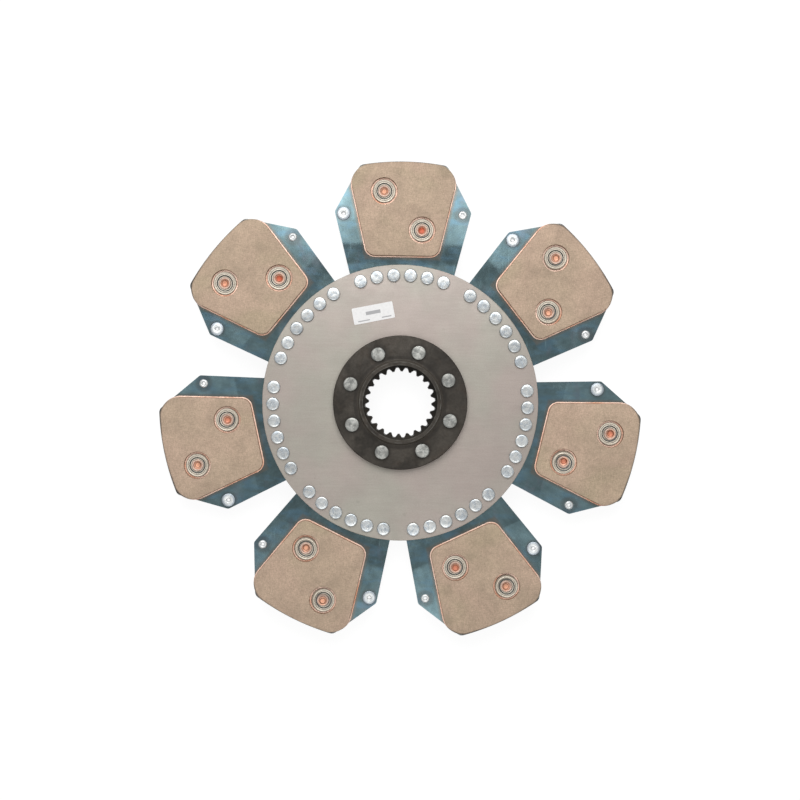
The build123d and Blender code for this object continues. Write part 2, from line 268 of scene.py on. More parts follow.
def add_node(tree, kind, inputs=None, **settings):
    """Adds a shader node, sets its options and fills or links its inputs."""
    node = tree.nodes.new("ShaderNode" + kind)
    for key, value in settings.items():
        setattr(node, key, value)
    for key, value in (inputs or {}).items():
        if isinstance(value, bpy.types.NodeSocket):
            tree.links.new(value, node.inputs[key])
        else:
            node.inputs[key].default_value = value
    return node


def empty_tree(owner):
    """Node tree of a material or world, emptied."""
    owner.use_nodes = True
    owner.node_tree.nodes.clear()
    return owner.node_tree


def rgba(value, share=1.0):
    """Colour with alpha, brightened or darkened by a share."""
    return tuple(min(1.0, channel * share) for channel in value[:3]) + (1.0,)


class Finish:
    """One material, its tone so far and the few node patterns that the finishes share."""

    def __init__(self, name, metallic, roughness):
        self.material = bpy.data.materials.new(name)
        self.material.use_nodes = True
        self.tree = self.material.node_tree
        self.shader = self.tree.nodes["Principled BSDF"]
        self.shader.inputs["Metallic"].default_value = metallic
        self.shader.inputs["Roughness"].default_value = roughness
        self.place = add_node(self.tree, "TexCoord").outputs["Object"]
        self.tone = None

    def add(self, kind, inputs=None, **settings):
        """Adds a node to this finish."""
        return add_node(self.tree, kind, inputs, **settings)

    def stretched(self, scale, turn=0.0):
        """Object coordinates turned about Z and scaled by axis."""
        mapping = self.add("Mapping", {"Vector": self.place, "Scale": scale,
                                       "Rotation": (0, 0, turn)})
        return mapping.outputs["Vector"]

    def polar(self, per_radius, per_turn):
        """Coordinates along the radius and round the hub axis, for radial or round grain."""
        split = self.add("SeparateXYZ", {"Vector": self.place})
        flat = self.add("CombineXYZ", {"X": split.outputs["X"], "Y": split.outputs["Y"]})
        radius = self.measure("LENGTH", flat.outputs[0])
        angle = self.maths("ARCTAN2", split.outputs["Y"], split.outputs["X"])
        out = self.add("CombineXYZ", {"X": self.times(radius, per_radius),
                                      "Y": self.times(angle, per_turn),
                                      "Z": split.outputs["Z"]})
        return out.outputs[0]

    def radius(self, place=None):
        """Distance from the hub axis, or from the axis of a marked piece."""
        return self.measure("LENGTH", self.vector("MULTIPLY", place or self.place, (1, 1, 0)))

    def own_place(self):
        """Coordinates about a rivet's or washer's own axis, as marked on its mesh."""
        return self.add("Attribute", attribute_name=OWN_PLACE).outputs["Vector"]

    def rings(self, outer, stops):
        """Colours by distance from a piece's own axis, as (radius, colour, level) stops."""
        # No two rivets were set quite alike, so each one's rings lie a little off its axis
        loose = self.add("TexNoise", {"Vector": self.place, "Scale": 24.0, "Detail": 0.0})
        offset = self.vector("SUBTRACT", loose.outputs["Color"], (0.5, 0.5, 0.5))
        away = self.add("VectorMath", {0: offset, "Scale": RING_OFFSET * MM}, operation="SCALE")
        place = self.vector("ADD", self.own_place(), away.outputs[0])
        share = self.maths("DIVIDE", self.radius(place), outer * MM)
        node = self.add("ValToRGB", {"Fac": share})
        marks = node.color_ramp.elements
        while len(marks) < len(stops):
            marks.new(0.5)
        for mark, (radius, value, level) in zip(marks, stops):
            mark.position = radius / outer
            mark.color = rgba(value, level)
        return node.outputs["Color"]

    def sector(self, count, turn):
        """Place by the nearest of even rays: distance from the ray, and distance along it."""
        split = self.add("SeparateXYZ", {"Vector": self.place})
        angle = self.maths("ARCTAN2", split.outputs["Y"], split.outputs["X"])
        angle = self.maths("SUBTRACT", angle, math.radians(turn))
        pitch = math.tau / count
        turns = self.maths("ROUND", self.maths("DIVIDE", angle, pitch))
        offset = self.maths("SUBTRACT", angle, self.times(turns, pitch))
        across = self.times(self.radius(), self.maths("SINE", offset))
        along = self.times(self.radius(), self.maths("COSINE", offset))
        return self.maths("ABSOLUTE", across), along

    def on_paddle(self):
        """Place on the nearest paddle: distance from its axis, and distance along it."""
        return self.sector(PADDLES, 90)

    def from_spots(self, place, spots):
        """Distance from the nearest of some (x, y) spots in millimetres."""
        here = self.add("CombineXYZ", {"X": place[0], "Y": place[1]})
        nearest, *others = [
            self.measure("DISTANCE", here.outputs[0], (abs(x) * MM, y * MM, 0))
            for x, y in spots]
        for other in others:
            nearest = self.maths("MINIMUM", nearest, other)
        return nearest

    def maths(self, operation, first, second=0.0):
        """One arithmetic step."""
        return self.add("Math", {0: first, 1: second}, operation=operation).outputs[0]

    def vector(self, operation, first, second=(0, 0, 0)):
        """Vector that one step of vector arithmetic gives."""
        return self.add("VectorMath", {0: first, 1: second}, operation=operation).outputs[0]

    def measure(self, operation, first, second=(0, 0, 0)):
        """Number that one step of vector arithmetic gives."""
        node = self.add("VectorMath", {0: first, 1: second}, operation=operation)
        return node.outputs["Value"]

    def apart(self, value, middle):
        """Distance of a value from a middle given in millimetres."""
        return self.maths("ABSOLUTE", self.maths("SUBTRACT", value, middle * MM))

    def times(self, first, second):
        """Product of two values."""
        return self.maths("MULTIPLY", first, second)

    def noise(self, scale, detail=2.0, rough=0.5, vector=None, distortion=0.0):
        """Noise value from 0 to 1."""
        node = self.add("TexNoise", {"Vector": vector or self.place, "Scale": scale,
                                     "Detail": detail, "Roughness": rough,
                                     "Distortion": distortion})
        return node.outputs["Fac"]

    def ramp(self, value, start, end, out_start=0.0, out_end=1.0):
        """Value remapped smoothly from one range to another."""
        node = self.add("MapRange", {"Value": value, "From Min": start, "From Max": end,
                                     "To Min": out_start, "To Max": out_end},
                        interpolation_type="SMOOTHSTEP")
        return node.outputs["Result"]

    def reach(self, distance, start, end, out_start=0.0, out_end=1.0):
        """Distance remapped smoothly, its range given in millimetres."""
        return self.ramp(distance, start * MM, end * MM, out_start, out_end)

    def band(self, distance, start, full, fading, gone, level=1.0):
        """Share that rises and falls again with a distance given in millimetres."""
        return self.times(self.reach(distance, start, full),
                          self.reach(distance, fading, gone, level, 0.0))

    def patches(self, noise, start, end, level=1.0):
        """Share of a noise's patches, from nothing at the start to a level at the end."""
        return self.ramp(noise, start, end, 0.0, level)

    def blend(self, amount, first, second, kind="MIX"):
        """Mix of two colours."""
        node = self.add("Mix", data_type="RGBA", blend_type=kind)
        for socket, value in (("Factor_Float", amount), ("A_Color", first),
                              ("B_Color", second)):
            target = next(s for s in node.inputs if s.identifier == socket)
            if isinstance(value, bpy.types.NodeSocket):
                self.tree.links.new(value, target)
            else:
                target.default_value = value
        return next(s for s in node.outputs if s.identifier == "Result_Color")

    def shade(self, base, value, spread):
        """Brightens and darkens a colour by a value from 0 to 1 round one half."""
        amount = self.ramp(value, 0.25, 0.75, 1 - spread, 1 + spread)
        grey = self.add("CombineXYZ", {"X": amount, "Y": amount, "Z": amount})
        return self.blend(1.0, base, grey.outputs[0], "MULTIPLY")

    def begin(self, amount, first, second):
        """Starts the tone from two mixed colours."""
        self.tone = self.blend(amount, rgba(first), rgba(second))

    def tint(self, amount, value, share=1.0):
        """Lays a colour over the tone."""
        self.tone = self.blend(amount, self.tone, rgba(value, share))

    def vary(self, value, spread):
        """Brightens and darkens the tone by a value."""
        self.tone = self.shade(self.tone, value, spread)

    def mottle(self, scale, detail, spread, rough=0.5):
        """Brightens and darkens the tone by plain noise."""
        self.vary(self.noise(scale, detail, rough), spread)

    def rough(self, value, low, high):
        """Links a roughness that follows a noise between two levels."""
        value = self.ramp(value, 0.3, 0.7, low, high)
        self.tree.links.new(value, self.shader.inputs["Roughness"])

    def bump(self, height, strength, depth):
        """Links a bump of a depth in millimetres, over any bump already there."""
        node = self.add("Bump", {"Height": height, "Strength": strength,
                                 "Distance": depth * MM})
        normal = self.shader.inputs["Normal"]
        if normal.is_linked:
            self.tree.links.new(normal.links[0].from_socket, node.inputs["Normal"])
        self.tree.links.new(node.outputs["Normal"], normal)

    def done(self):
        """Links the tone and hands over the material."""
        self.tree.links.new(self.tone, self.shader.inputs["Base Color"])
        return self.material


def friction_finish(colours):
    """Sintered friction material: tan, speckled, with soft stains and a fine cross grain."""
    f = Finish("friction", 0.0, 0.82)
    f.begin(f.ramp(f.noise(26, 3.0), 0.38, 0.64), colours.friction, colours.friction_warm)
    green = f.noise(19, 2.0, vector=f.stretched((1, 1.6, 1), 0.7))
    f.tint(f.patches(green, 0.5, 0.7, 0.5), GREENISH)
    f.mottle(60, 3.0, 0.07)
    f.mottle(150, 3.0, 0.05)
    across = f.noise(1, 2.0, vector=f.stretched((420, 2600, 420), 0.2))
    along = f.noise(1, 2.0, vector=f.stretched((2600, 420, 420), 0.2))
    grain = f.maths("ADD", f.times(across, 0.5), f.times(along, 0.5))
    f.vary(grain, 0.2)
    speck = f.noise(1500, 2.0, 0.6)
    f.vary(speck, 0.13)
    f.tint(f.patches(f.noise(1300, 1.0), 0.66, 0.74, 0.4), colours.friction_edge, 0.6)
    stain = f.noise(44, 3.0, 0.6, f.stretched((1, 1, 1), 1.1))
    f.tint(f.patches(stain, 0.56, 0.74, 0.32), PAD_STAIN)
    scratch = f.noise(1, 1.0, vector=f.stretched((1500, 45, 100), 0.9))
    scratch = f.times(f.patches(scratch, 0.76, 0.8, 0.5), f.ramp(f.noise(33, 1.0), 0.56, 0.62))
    f.tint(scratch, colours.friction, 1.35)
    f.tint(pad_rim(f), colours.leaf_rim)
    f.bump(grain, 0.3, 0.05)
    f.bump(speck, 0.3, 0.05)
    return f.done()


def scorch(f):
    """Share of scorched metal, growing towards the outer rim and broken up by paddle."""
    share = f.reach(f.radius(), 160, FACING_R - 3, 0.0, 0.75)
    return f.times(share, f.ramp(f.noise(9, 1.0), 0.35, 0.6, 0.45, 1.0))


def pad_rim(f):
    """Share of darkening on a pad's face along its outer rim and corners."""
    posts, corner_x = facing_posts(PAD_STEP)
    x, y, corner_r = posts[-1]
    across, along = f.on_paddle()
    rim = f.times(f.reach(f.radius(), FACING_R - 1.2, FACING_R - 0.4),
                  f.reach(across, 8, corner_x, 0.3, 1.0))
    corner = f.from_spots((across, along), [(x, y)])
    corner = f.reach(corner, corner_r - 1.2, corner_r - 0.4)
    corner = f.times(corner, f.reach(across, corner_x, corner_x + 3))
    corner = f.times(corner, f.reach(along, y + 3, y + 9))
    dark = f.ramp(f.noise(13, 1.0), 0.4, 0.6, 0.1, 0.85)
    return f.times(f.maths("MAXIMUM", rim, corner), dark)


def friction_edge_finish(colours):
    """Cut rim and wells of a pad: redder and rougher than its face."""
    f = Finish("friction_edge", 0.0, 0.7)
    speck = f.noise(1100, 2.0)
    edge = colours.friction_edge
    f.begin(f.ramp(speck, 0.35, 0.65), rgba(edge, 0.8), rgba(edge, 1.25))
    f.tint(scorch(f), colours.leaf_rim)
    f.mottle(120, 2.0, 0.15)
    f.bump(speck, 0.6, 0.08)
    return f.done()


def copper_finish(colours):
    """Copper-plated backing plate with a little tarnish."""
    f = Finish("copper_plate", 0.35, 0.42)
    f.begin(f.ramp(f.noise(60, 3.0), 0.4, 0.75), colours.copper, colours.rivet_bore)
    f.mottle(260, 3.0, 0.12)
    well = f.from_spots(f.on_paddle(), PAD_RIVET_SPOTS)
    # A dark ring at the foot of each well's wall: the joint, and painted shade
    f.tint(f.band(well, WELL_R - 0.45, WELL_R - 0.15, WELL_R + 1.0, WELL_R + 1.3),
           colours.braze_and_shade)
    f.tint(scorch(f), colours.leaf_rim)
    f.mottle(900, 2.0, 0.1)
    f.rough(f.noise(250, 2.0), 0.38, 0.54)
    return f.done()


def braze_and_shade_finish(colours):
    """Dark reddish line where a pad meets its backing plate: the joint, and painted shade at the
    pad's foot.
    """
    f = Finish("braze_and_shade_line", 0.2, 0.6)
    f.begin(f.ramp(f.noise(300, 3.0), 0.35, 0.65), colours.braze_and_shade, rgba(colours.braze_and_shade, 0.7))
    f.mottle(1200, 2.0, 0.2)
    return f.done()


def leaf_finish(colours):
    """Blued spring steel: teal, cloudy, streaked, with a darker outer rim."""
    f = Finish("blued_steel", 0.85, 0.3)
    f.begin(f.ramp(f.noise(17, 3.0, 0.5), 0.4, 0.66), colours.leaf,
            rgba(colours.leaf_bright, 0.94))
    across, along = f.on_paddle()
    # Painted shade, with some heat tint, darkens the inner band below the crease
    f.tint(f.reach(along, CREASE_Y - 1.2, CREASE_Y + 0.2, 0.6, 0.0), colours.leaf, 0.8)
    grain = f.noise(1, 3.0, 0.6, f.polar(130, 40))
    f.vary(grain, 0.12)
    f.mottle(150, 4.0, 0.12, 0.65)
    blue = f.noise(55, 3.0, 0.6, f.stretched((1, 2.5, 1), 0.6))
    f.tint(f.patches(blue, 0.45, 0.68, 0.45), BLUE_TINT)
    violet = f.noise(42, 3.0, 0.6, f.stretched((2, 1, 1), 0.3))
    f.tint(f.patches(violet, 0.52, 0.72, 0.4), VIOLET_TINT)
    scuff = f.noise(1, 2.0, vector=f.stretched((900, 60, 60), 0.5))
    f.tint(f.patches(scuff, 0.68, 0.76, 0.4), colours.leaf_bright, 1.4)
    slope = math.tan(FACING_ANGLE)
    side = f.maths("SUBTRACT", f.maths("SUBTRACT", across, f.times(along, slope)),
                   (FACING_ROOT_X - slope * BACKING_INNER_Y) * MM)
    below = f.maths("SUBTRACT", BACKING_INNER_Y * MM, along)
    f.tint(f.reach(f.maths("MAXIMUM", side, below), 0.3, 2.6, 0.6, 0.0), PAD_SHADOW)
    near = f.from_spots((across, along), [EDGE_RIVET_SPOT])
    f.tint(f.reach(near, 4.6, 7.5, 0.45, 0.0), colours.leaf_rim, 1.4)
    f.tint(f.reach(f.radius(), FACING_R - 1.0, FACING_R + 0.2, 0.0, 0.85), colours.leaf_rim)
    f.rough(f.noise(90, 3.0), 0.12, 0.22)
    f.bump(grain, 0.12, 0.02)
    return f.done()


def carrier_finish(colours):
    """Cold-rolled steel plate: warm light grey with faint stains and scuffs."""
    f = Finish("carrier_steel", 0.25, 0.5)
    f.begin(f.ramp(f.noise(22, 3.0), 0.35, 0.68), colours.carrier, colours.carrier_pink)
    f.mottle(60, 3.0, 0.04)
    streak = f.noise(1, 3.0, 0.6, f.stretched((60, 900, 60), 0.1))
    f.vary(streak, 0.03)
    f.mottle(1300, 2.0, 0.05)
    f.tint(f.patches(f.noise(120, 2.0), 0.7, 0.78, 0.25), colours.carrier, 0.6)
    f.rough(f.noise(140, 3.0), 0.4, 0.47)
    f.bump(streak, 0.08, 0.02)
    f.bump(f.noise(1000, 2.0), 0.1, 0.02)
    return f.done()


def hub_finish(colours):
    """Dark phosphated forging, with painted shade in its mouth, round its rivets and at the foot
    of its collar, and painted highlights along the collar's and the mouth's edges.
    """
    f = Finish("dark_steel", 0.3, 0.5)
    f.shader.inputs["Specular IOR Level"].default_value = 0.15
    radius = f.radius()
    f.begin(f.ramp(f.noise(55, 3.0), 0.35, 0.65), rgba(colours.hub, 0.8),
            rgba(colours.hub, 1.2))
    f.tint(f.patches(f.noise(75, 3.0, 0.6), 0.5, 0.72, 0.4), RUST)
    stain = f.noise(48, 3.0, 0.6, f.stretched((1, 1, 1), 0.8))
    f.tint(f.patches(stain, 0.5, 0.66, 0.8), colours.hub, 0.45)
    f.mottle(700, 2.0, 0.16, 0.6)
    # Painted shade darkens the mouth, most at its upper right, where more of the bore's shaded
    # inner wall shows
    lean = f.measure("DOT_PRODUCT", f.place, (8.0, 12.0, 0))
    painted_shade = f.ramp(lean, -0.3, 0.35, 0.35, 0.85)
    mouth = f.reach(radius, MOUTH_R - 0.3, MOUTH_R + 0.2, 1.0, 0.0)
    f.tint(f.times(mouth, painted_shade), colours.hub, 0.15)
    # Painted shade, with some dirt, darkens the corner at the foot of the collar
    f.tint(f.band(radius, BARREL_R + 0.9, BARREL_R + 2.0, BARREL_R + 3.1, BARREL_R + 4.4, 0.6),
           colours.hub, 0.4)
    # Painted highlight: the collar's edge and the fillet below it are a little brighter than the
    # black oxide round them
    collar_highlight = f.band(radius, BARREL_R - 0.9, BARREL_R - 0.5, BARREL_R + 0.4, BARREL_R + 1.4, 0.8)
    f.tint(collar_highlight, colours.hub, 1.9)
    # Painted shade round the foot of each rivet head
    near = f.from_spots(f.sector(HUB_RIVETS, HUB_RIVET_TURN), [(0, HUB_RIVET_CIRCLE)])
    f.tint(f.reach(near, 5.2, 8.2, 0.6, 0.0), colours.hub, 0.45)
    # Painted highlights: thin broken light lines on the edge of the mouth and on the collar's top
    # edge
    broken = f.ramp(f.noise(220, 3.0), 0.38, 0.62)
    for line_r, level in ((MOUTH_R + 0.25, 0.3), (BARREL_R - HUB_EDGE, 0.45)):
        line = f.reach(f.apart(radius, line_r), 0.05, 0.3, level, 0.0)
        f.tint(f.times(line, broken), colours.hub_rivet, 0.8)
    f.rough(f.noise(300, 3.0), 0.42, 0.6)
    f.bump(f.noise(800, 3.0), 0.25, 0.05)
    return f.done()


def rivet_finish(name, base, shade, rough_low, rough_high, swirled, wedged, shaded_rim_from=0.0):
    """Plated rivet steel: swirled dull marks, round set marks, painted highlights in two opposite
    wedges, and painted shade on the rim from a radius out.
    """
    f = Finish(name, 0.7, rough_low)
    swirl = f.noise(210, 3.0, 0.6, distortion=1.8)
    f.begin(f.patches(swirl, 0.4, 0.62, swirled), base, shade)
    f.mottle(31, 0.0, 0.14)
    place = f.own_place()
    # Painted shade on the sloping rim of the head
    if shaded_rim_from:
        f.tint(f.reach(f.radius(place), shaded_rim_from, shaded_rim_from + 1.6, 0.0, 0.8), shade)
    # Painted highlights: two opposite wedges of the set marks are lightened, as if they caught
    # the light
    flat = f.vector("MULTIPLY", place, (1, 1, 0))
    ray = f.add("SeparateXYZ", {"Vector": f.vector("NORMALIZE", flat)})
    wedge = f.times(f.maths("ABSOLUTE", ray.outputs["X"]), 0.6)
    f.vary(f.maths("ADD", wedge, f.times(f.noise(500, 2.0), 0.3)), wedged)
    ringed = f.add("CombineXYZ", {"X": f.times(f.radius(place), 1500),
                                  "Y": f.noise(300, 2.0)})
    marks = f.noise(1, 2.0, 0.6, ringed.outputs[0])
    f.vary(marks, 0.1)
    f.mottle(1300, 2.0, 0.06)
    f.rough(swirl, rough_low, rough_high)
    f.bump(marks, 0.06, 0.03)
    f.bump(swirl, 0.06, 0.06)
    return f.done()


def washer_finish(colours):
    """Plated washer: painted shade by the rolled end, on the dish wall, in the groove and by the
    outer edge, with some dirt in the groove, and painted highlights on the flats and the lip.
    """
    f = Finish("washer_zinc", 0.3, 0.45)
    bright, groove = colours.washer, colours.washer_grime_and_shade
    # The rings paint shade by the rolled end, on the dish wall, in the groove and at the outer
    # edge, and light on the flats and the lip
    f.tone = f.rings(WASHER_R, [
        (4.2, groove, 1.0), (4.45, bright, 1.0), (4.75, bright, 1.4), (5.0, bright, 0.8),
        (5.2, groove, 0.5), (5.75, groove, 0.6), (6.0, bright, 1.0), (6.25, bright, 1.35),
        (6.6, bright, 0.35), (6.85, bright, 0.4), (7.2, bright, 1.4), (7.75, bright, 0.9),
        (8.2, colours.friction, 0.4),
    ])
    f.mottle(500, 3.0, 0.12)
    f.rough(f.noise(300, 2.0), 0.4, 0.55)
    return f.done()


def pad_rivet_finish(colours):
    """Copper rivet: a pinkish rolled end round an orange bore, ringed with painted shade and
    light.
    """
    f = Finish("pad_rivet_copper", 0.25, 0.45)
    roll, bore, dark = colours.rivet_roll, colours.rivet_bore, colours.rivet_dark
    # The rings paint shade round the edge of the bore's floor and where the rolled end meets the
    # washer, and light on the bore's rim and the roll
    pale = f.rings(ROLL_MARKS_R, [
        (0.0, bore, 1.05), (1.55, bore, 1.05), (1.8, bore, 0.28), (2.1, bore, 0.32),
        (2.4, bore, 1.2), (3.1, roll, 0.95), (3.8, roll, 1.1), (4.35, roll, 0.6),
    ])
    deep = f.rings(ROLL_MARKS_R, [
        (0.0, dark, 1.1), (1.7, dark, 1.0), (2.1, dark, 0.4), (2.5, bore, 1.1),
        (3.3, roll, 1.02), (4.0, roll, 0.96), (4.35, roll, 0.84),
    ])
    # The two inner rivets of the paddles by the label are the darkest
    by_label = f.measure("DISTANCE", f.place, (-37 * MM, 107 * MM, MID_Z * MM))
    some = f.times(f.reach(f.radius(), 135, 140, 1, 0), f.reach(by_label, 60, 66, 1, 0))
    some = f.maths("MAXIMUM", some, f.patches(f.noise(22, 0.0), 0.45, 0.7, 0.6))
    f.tone = f.blend(some, pale, deep)
    f.mottle(420, 3.0, 0.16, 0.6)
    f.rough(f.noise(300, 2.0), 0.4, 0.55)
    return f.done()


def paper_finish(colours):
    """White sticker with three plain bars and no lettering."""
    f = Finish("label_paper", 0.0, 0.55)
    moved = f.vector("SUBTRACT", f.place, (*(c * MM for c in label_middle()), 0))
    turned_back = f.add("VectorRotate", {"Vector": moved, "Angle": -math.radians(LABEL_TILT)},
                        rotation_type="Z_AXIS")
    split = f.add("SeparateXYZ", {"Vector": turned_back.outputs[0]})
    f.begin(f.ramp(f.noise(500, 2.0), 0.4, 0.7), colours.paper, rgba(colours.paper, 0.94))
    # Each bar is its middle across the label and up it, then half its length and height
    for across, up, half_long, half_high in ((0, 0.6, 5.4, 1.3), (-7.6, -4.2, 4.4, 0.45),
                                             (9.0, -4.2, 3.6, 0.45)):
        inside = [f.reach(f.apart(split.outputs[axis], middle), half - 0.1, half, 1, 0)
                  for axis, middle, half in (("X", across, half_long), ("Y", up, half_high))]
        f.tint(f.times(f.times(*inside), 0.85), colours.ink)
    f.bump(f.noise(900, 2.0), 0.1, 0.02)
    return f.done()


# Mesh building, all by operators as by hand


def deselect():
    """Deselects every object."""
    bpy.ops.object.select_all(action="DESELECT")


def only(piece):
    """Selects one piece and makes it active."""
    deselect()
    piece.select_set(True)
    bpy.context.view_layer.objects.active = piece


def edit(piece):
    """Opens a piece in edit mode."""
    only(piece)
    bpy.ops.object.mode_set(mode="EDIT")


def leave():
    """Closes edit mode."""
    bpy.ops.object.mode_set(mode="OBJECT")


def pick(piece, kind, test):
    """Selects the vertices, edges or faces of the edited piece that pass a test."""
    bpy.ops.mesh.select_mode(type=kind)
    bpy.ops.mesh.select_all(action="DESELECT")
    bpy.ops.object.mode_set(mode="OBJECT")
    parts = {"VERT": piece.data.vertices, "EDGE": piece.data.edges,
             "FACE": piece.data.polygons}[kind]
    for part in parts:
        part.select = test(part)
    bpy.ops.object.mode_set(mode="EDIT")


def take_all():
    """Selects the whole edited mesh."""
    bpy.ops.mesh.select_all(action="SELECT")


def extrude(rise):
    """Extrudes the selection along Z by millimetres."""
    bpy.ops.mesh.extrude_region_move(TRANSFORM_OT_translate={"value": (0, 0, rise * MM)})


def widen(scale):
    """Scales the selection away from the Z axis."""
    bpy.ops.transform.resize(value=(scale, scale, 1), center_override=(0, 0, 0))


def shift(x, y, z):
    """Moves the selection by millimetres."""
    bpy.ops.transform.translate(value=(x * MM, y * MM, z * MM))


def outward():
    """Merges doubles of the edited piece and turns its faces outwards."""
    take_all()
    bpy.ops.mesh.remove_doubles(threshold=0.002 * MM)
    bpy.ops.mesh.normals_make_consistent(inside=False)


def smooth(piece, degrees):
    """Smooth shading up to an angle between faces."""
    only(piece)
    bpy.ops.object.shade_smooth_by_angle(angle=math.radians(degrees))


def apply_modifier(piece, kind, **settings):
    """Adds a modifier, sets it and applies it."""
    only(piece)
    modifier = piece.modifiers.new(kind.title(), kind)
    for key, value in settings.items():
        setattr(modifier, key, value)
    bpy.ops.object.modifier_apply(modifier=modifier.name)


def round_edges(piece, width, segments):
    """Rounds the sharp edges of a stamped sheet."""
    apply_modifier(piece, "BEVEL", width=width, segments=segments, limit_method="ANGLE",
                   angle_limit=math.radians(40))


def extrude_profile(profile):
    """Extrudes and widens the selected ring from point to point of a (radius, height) list."""
    for (radius, z), (next_radius, next_z) in zip(profile, profile[1:]):
        extrude(next_z - z)
        widen(next_radius / radius)


def ring(name, vertices, radius, z, filled="NOTHING"):
    """Starts a turned piece as a ring about the Z axis, opened in edit mode."""
    deselect()
    bpy.ops.mesh.primitive_circle_add(vertices=vertices, radius=radius * MM,
                                      location=(0, 0, z * MM), fill_type=filled)
    piece = bpy.context.object
    piece.name = name
    bpy.ops.object.transform_apply()
    edit(piece)
    take_all()
    return piece


def turned(name, profile, segments, hollow=False):
    """Turns a piece about Z from a profile. A hollow one ends where it began."""
    piece = ring(name, segments, *profile[0], "NOTHING" if hollow else "NGON")
    extrude_profile(profile)
    outward()
    leave()
    marks = piece.data.attributes.new(OWN_PLACE, "FLOAT_VECTOR", "POINT")
    marks.data.foreach_set("vector", [c for v in piece.data.vertices for c in v.co])
    return piece


def arc(centre_r, centre_z, radius, start, end, steps):
    """Points of an arc of a profile, angles in degrees from the outward direction."""
    points = []
    for i in range(steps + 1):
        angle = math.radians(start + (end - start) * i / steps)
        points.append((centre_r + radius * math.cos(angle), centre_z + radius * math.sin(angle)))
    return points


def cylinder(x, y, z, radius, depth, vertices):
    """Adds a cylinder about a point."""
    bpy.ops.mesh.primitive_cylinder_add(vertices=vertices, radius=radius * MM, depth=depth * MM,
                                        location=(x * MM, y * MM, z * MM))
    return bpy.context.object


def joined(pieces, name):
    """Several pieces as one."""
    deselect()
    for piece in pieces:
        piece.select_set(True)
    bpy.context.view_layer.objects.active = pieces[0]
    bpy.ops.object.join()
    pieces[0].name = name
    return pieces[0]


def drop(piece):
    """Deletes a cutter, or a pattern piece after its copies are made."""
    only(piece)
    bpy.ops.object.delete()


def wrapped(name, posts, rim_r, rim_half, z, thickness):
    """Plate wrapped round corner posts and a rim: (x, y, radius) posts, then a convex hull."""
    deselect()
    middle = z + thickness / 2
    made = [cylinder(x, y, middle, radius, thickness, 72) for x, y, radius in posts]
    rim = cylinder(0, 0, middle, rim_r, thickness, 720)
    edit(rim)
    pick(rim, "VERT", lambda v: abs(v.co.x) > rim_half * MM or v.co.y < 0)
    bpy.ops.mesh.delete(type="VERT")
    leave()
    plate = joined([rim, *made], name)
    bpy.ops.object.transform_apply()
    edit(plate)
    take_all()
    bpy.ops.mesh.convex_hull()
    take_all()
    bpy.ops.mesh.dissolve_limited(angle_limit=math.radians(0.05))
    outward()
    leave()
    return plate


def cut_round(piece, z, *groups):
    """Cuts round holes through a piece, each group with its (x, y) spots and a radius."""
    deselect()
    cutters = [cylinder(x, y, z, radius, CUTTER_RUN, 72 if radius < 12 else 360)
               for spots, radius in groups for x, y in spots]
    cutter = joined(cutters[::-1], "cutter")
    apply_modifier(piece, "BOOLEAN", operation="DIFFERENCE", object=cutter, solver="EXACT")
    drop(cutter)


def copy_of(piece, name):
    """A copy with its own mesh, opened in edit mode with everything selected."""
    only(piece)
    bpy.ops.object.duplicate()
    copy = bpy.context.object
    copy.name = name
    edit(copy)
    take_all()
    return copy


def turn_about(axis, angle, centre):
    """Turns the selected mesh by the right-hand rule about an axis through a centre."""
    bpy.ops.transform.rotate(value=-angle, orient_axis=axis, orient_type="GLOBAL",
                             center_override=tuple(c * MM for c in centre))


def paddle_copy(piece, name, paddle, over):
    """The paddle 1 piece copied to a paddle, counted from 0, and turned over for the rear."""
    copy = copy_of(piece, name)
    if over:
        turn_about("Y", math.pi, (0, 0, MID_Z))
    turn_about("Z", math.tau * paddle / PADDLES, (0, 0, 0))
    leave()
    return copy


def moved_copy(piece, name, x, y, dice):
    """A rivet copied to a place and turned about itself, as set by hand."""
    copy = copy_of(piece, name)
    turn_about("Z", dice.uniform(0, math.tau), (0, 0, 0))
    turn_about("X", dice.uniform(-RIVET_TILT, RIVET_TILT), (0, 0, FLANGE_Z))
    turn_about("Y", dice.uniform(-RIVET_TILT, RIVET_TILT), (0, 0, FLANGE_Z))
    shift(x, y, 0)
    leave()
    return copy


def dress(piece, slot, nodes, *materials):
    """Gives a finished piece its materials and its body, and hides the nodes it stands for. Its
    slot is not used.
    """
    if len(piece.data.materials) == 0:
        for material in materials:
            piece.data.materials.append(material)
    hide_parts(*nodes)
    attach(piece, "root")


def fill_paddles(piece, name, slot):
    """Copies a pattern piece to both sides of each paddle, dresses the copies and drops it."""
    for paddle in range(PADDLES):
        for side, over in SIDES:
            copy = paddle_copy(piece, f"{name}_{side}_{paddle + 1}", paddle, over)
            dress(copy, slot, [f"{side}_{name}_{paddle + 1}"])
    drop(piece)


def paint(piece, finish, other, test):
    """Gives a piece one finish, and the other one to the faces that pass a test."""
    piece.data.materials.append(finish)
    piece.data.materials.append(other)
    for face in piece.data.polygons:
        if test(face):
            face.material_index = 1


def round_the_axis(radius, angle):
    """Place at a radius and an angle in radians from +X."""
    return radius * math.cos(angle), radius * math.sin(angle)


def label_middle():
    """Middle of the label."""
    return round_the_axis(LABEL_R, math.radians(LABEL_TURN))


def carrier_rivet_spots():
    """Places of the six carrier rivets of paddle 1."""
    middle = (RIVETS_PER_PADDLE - 1) / 2
    return [round_the_axis(CARRIER_RIVET_CIRCLE,
                           math.radians(90 + CARRIER_RIVET_PITCH * (i - middle)))
            for i in range(RIVETS_PER_PADDLE)]


def mirrored(spots):
    """The same places on the other side of the paddle's axis."""
    return [(-x, y) for x, y in spots]


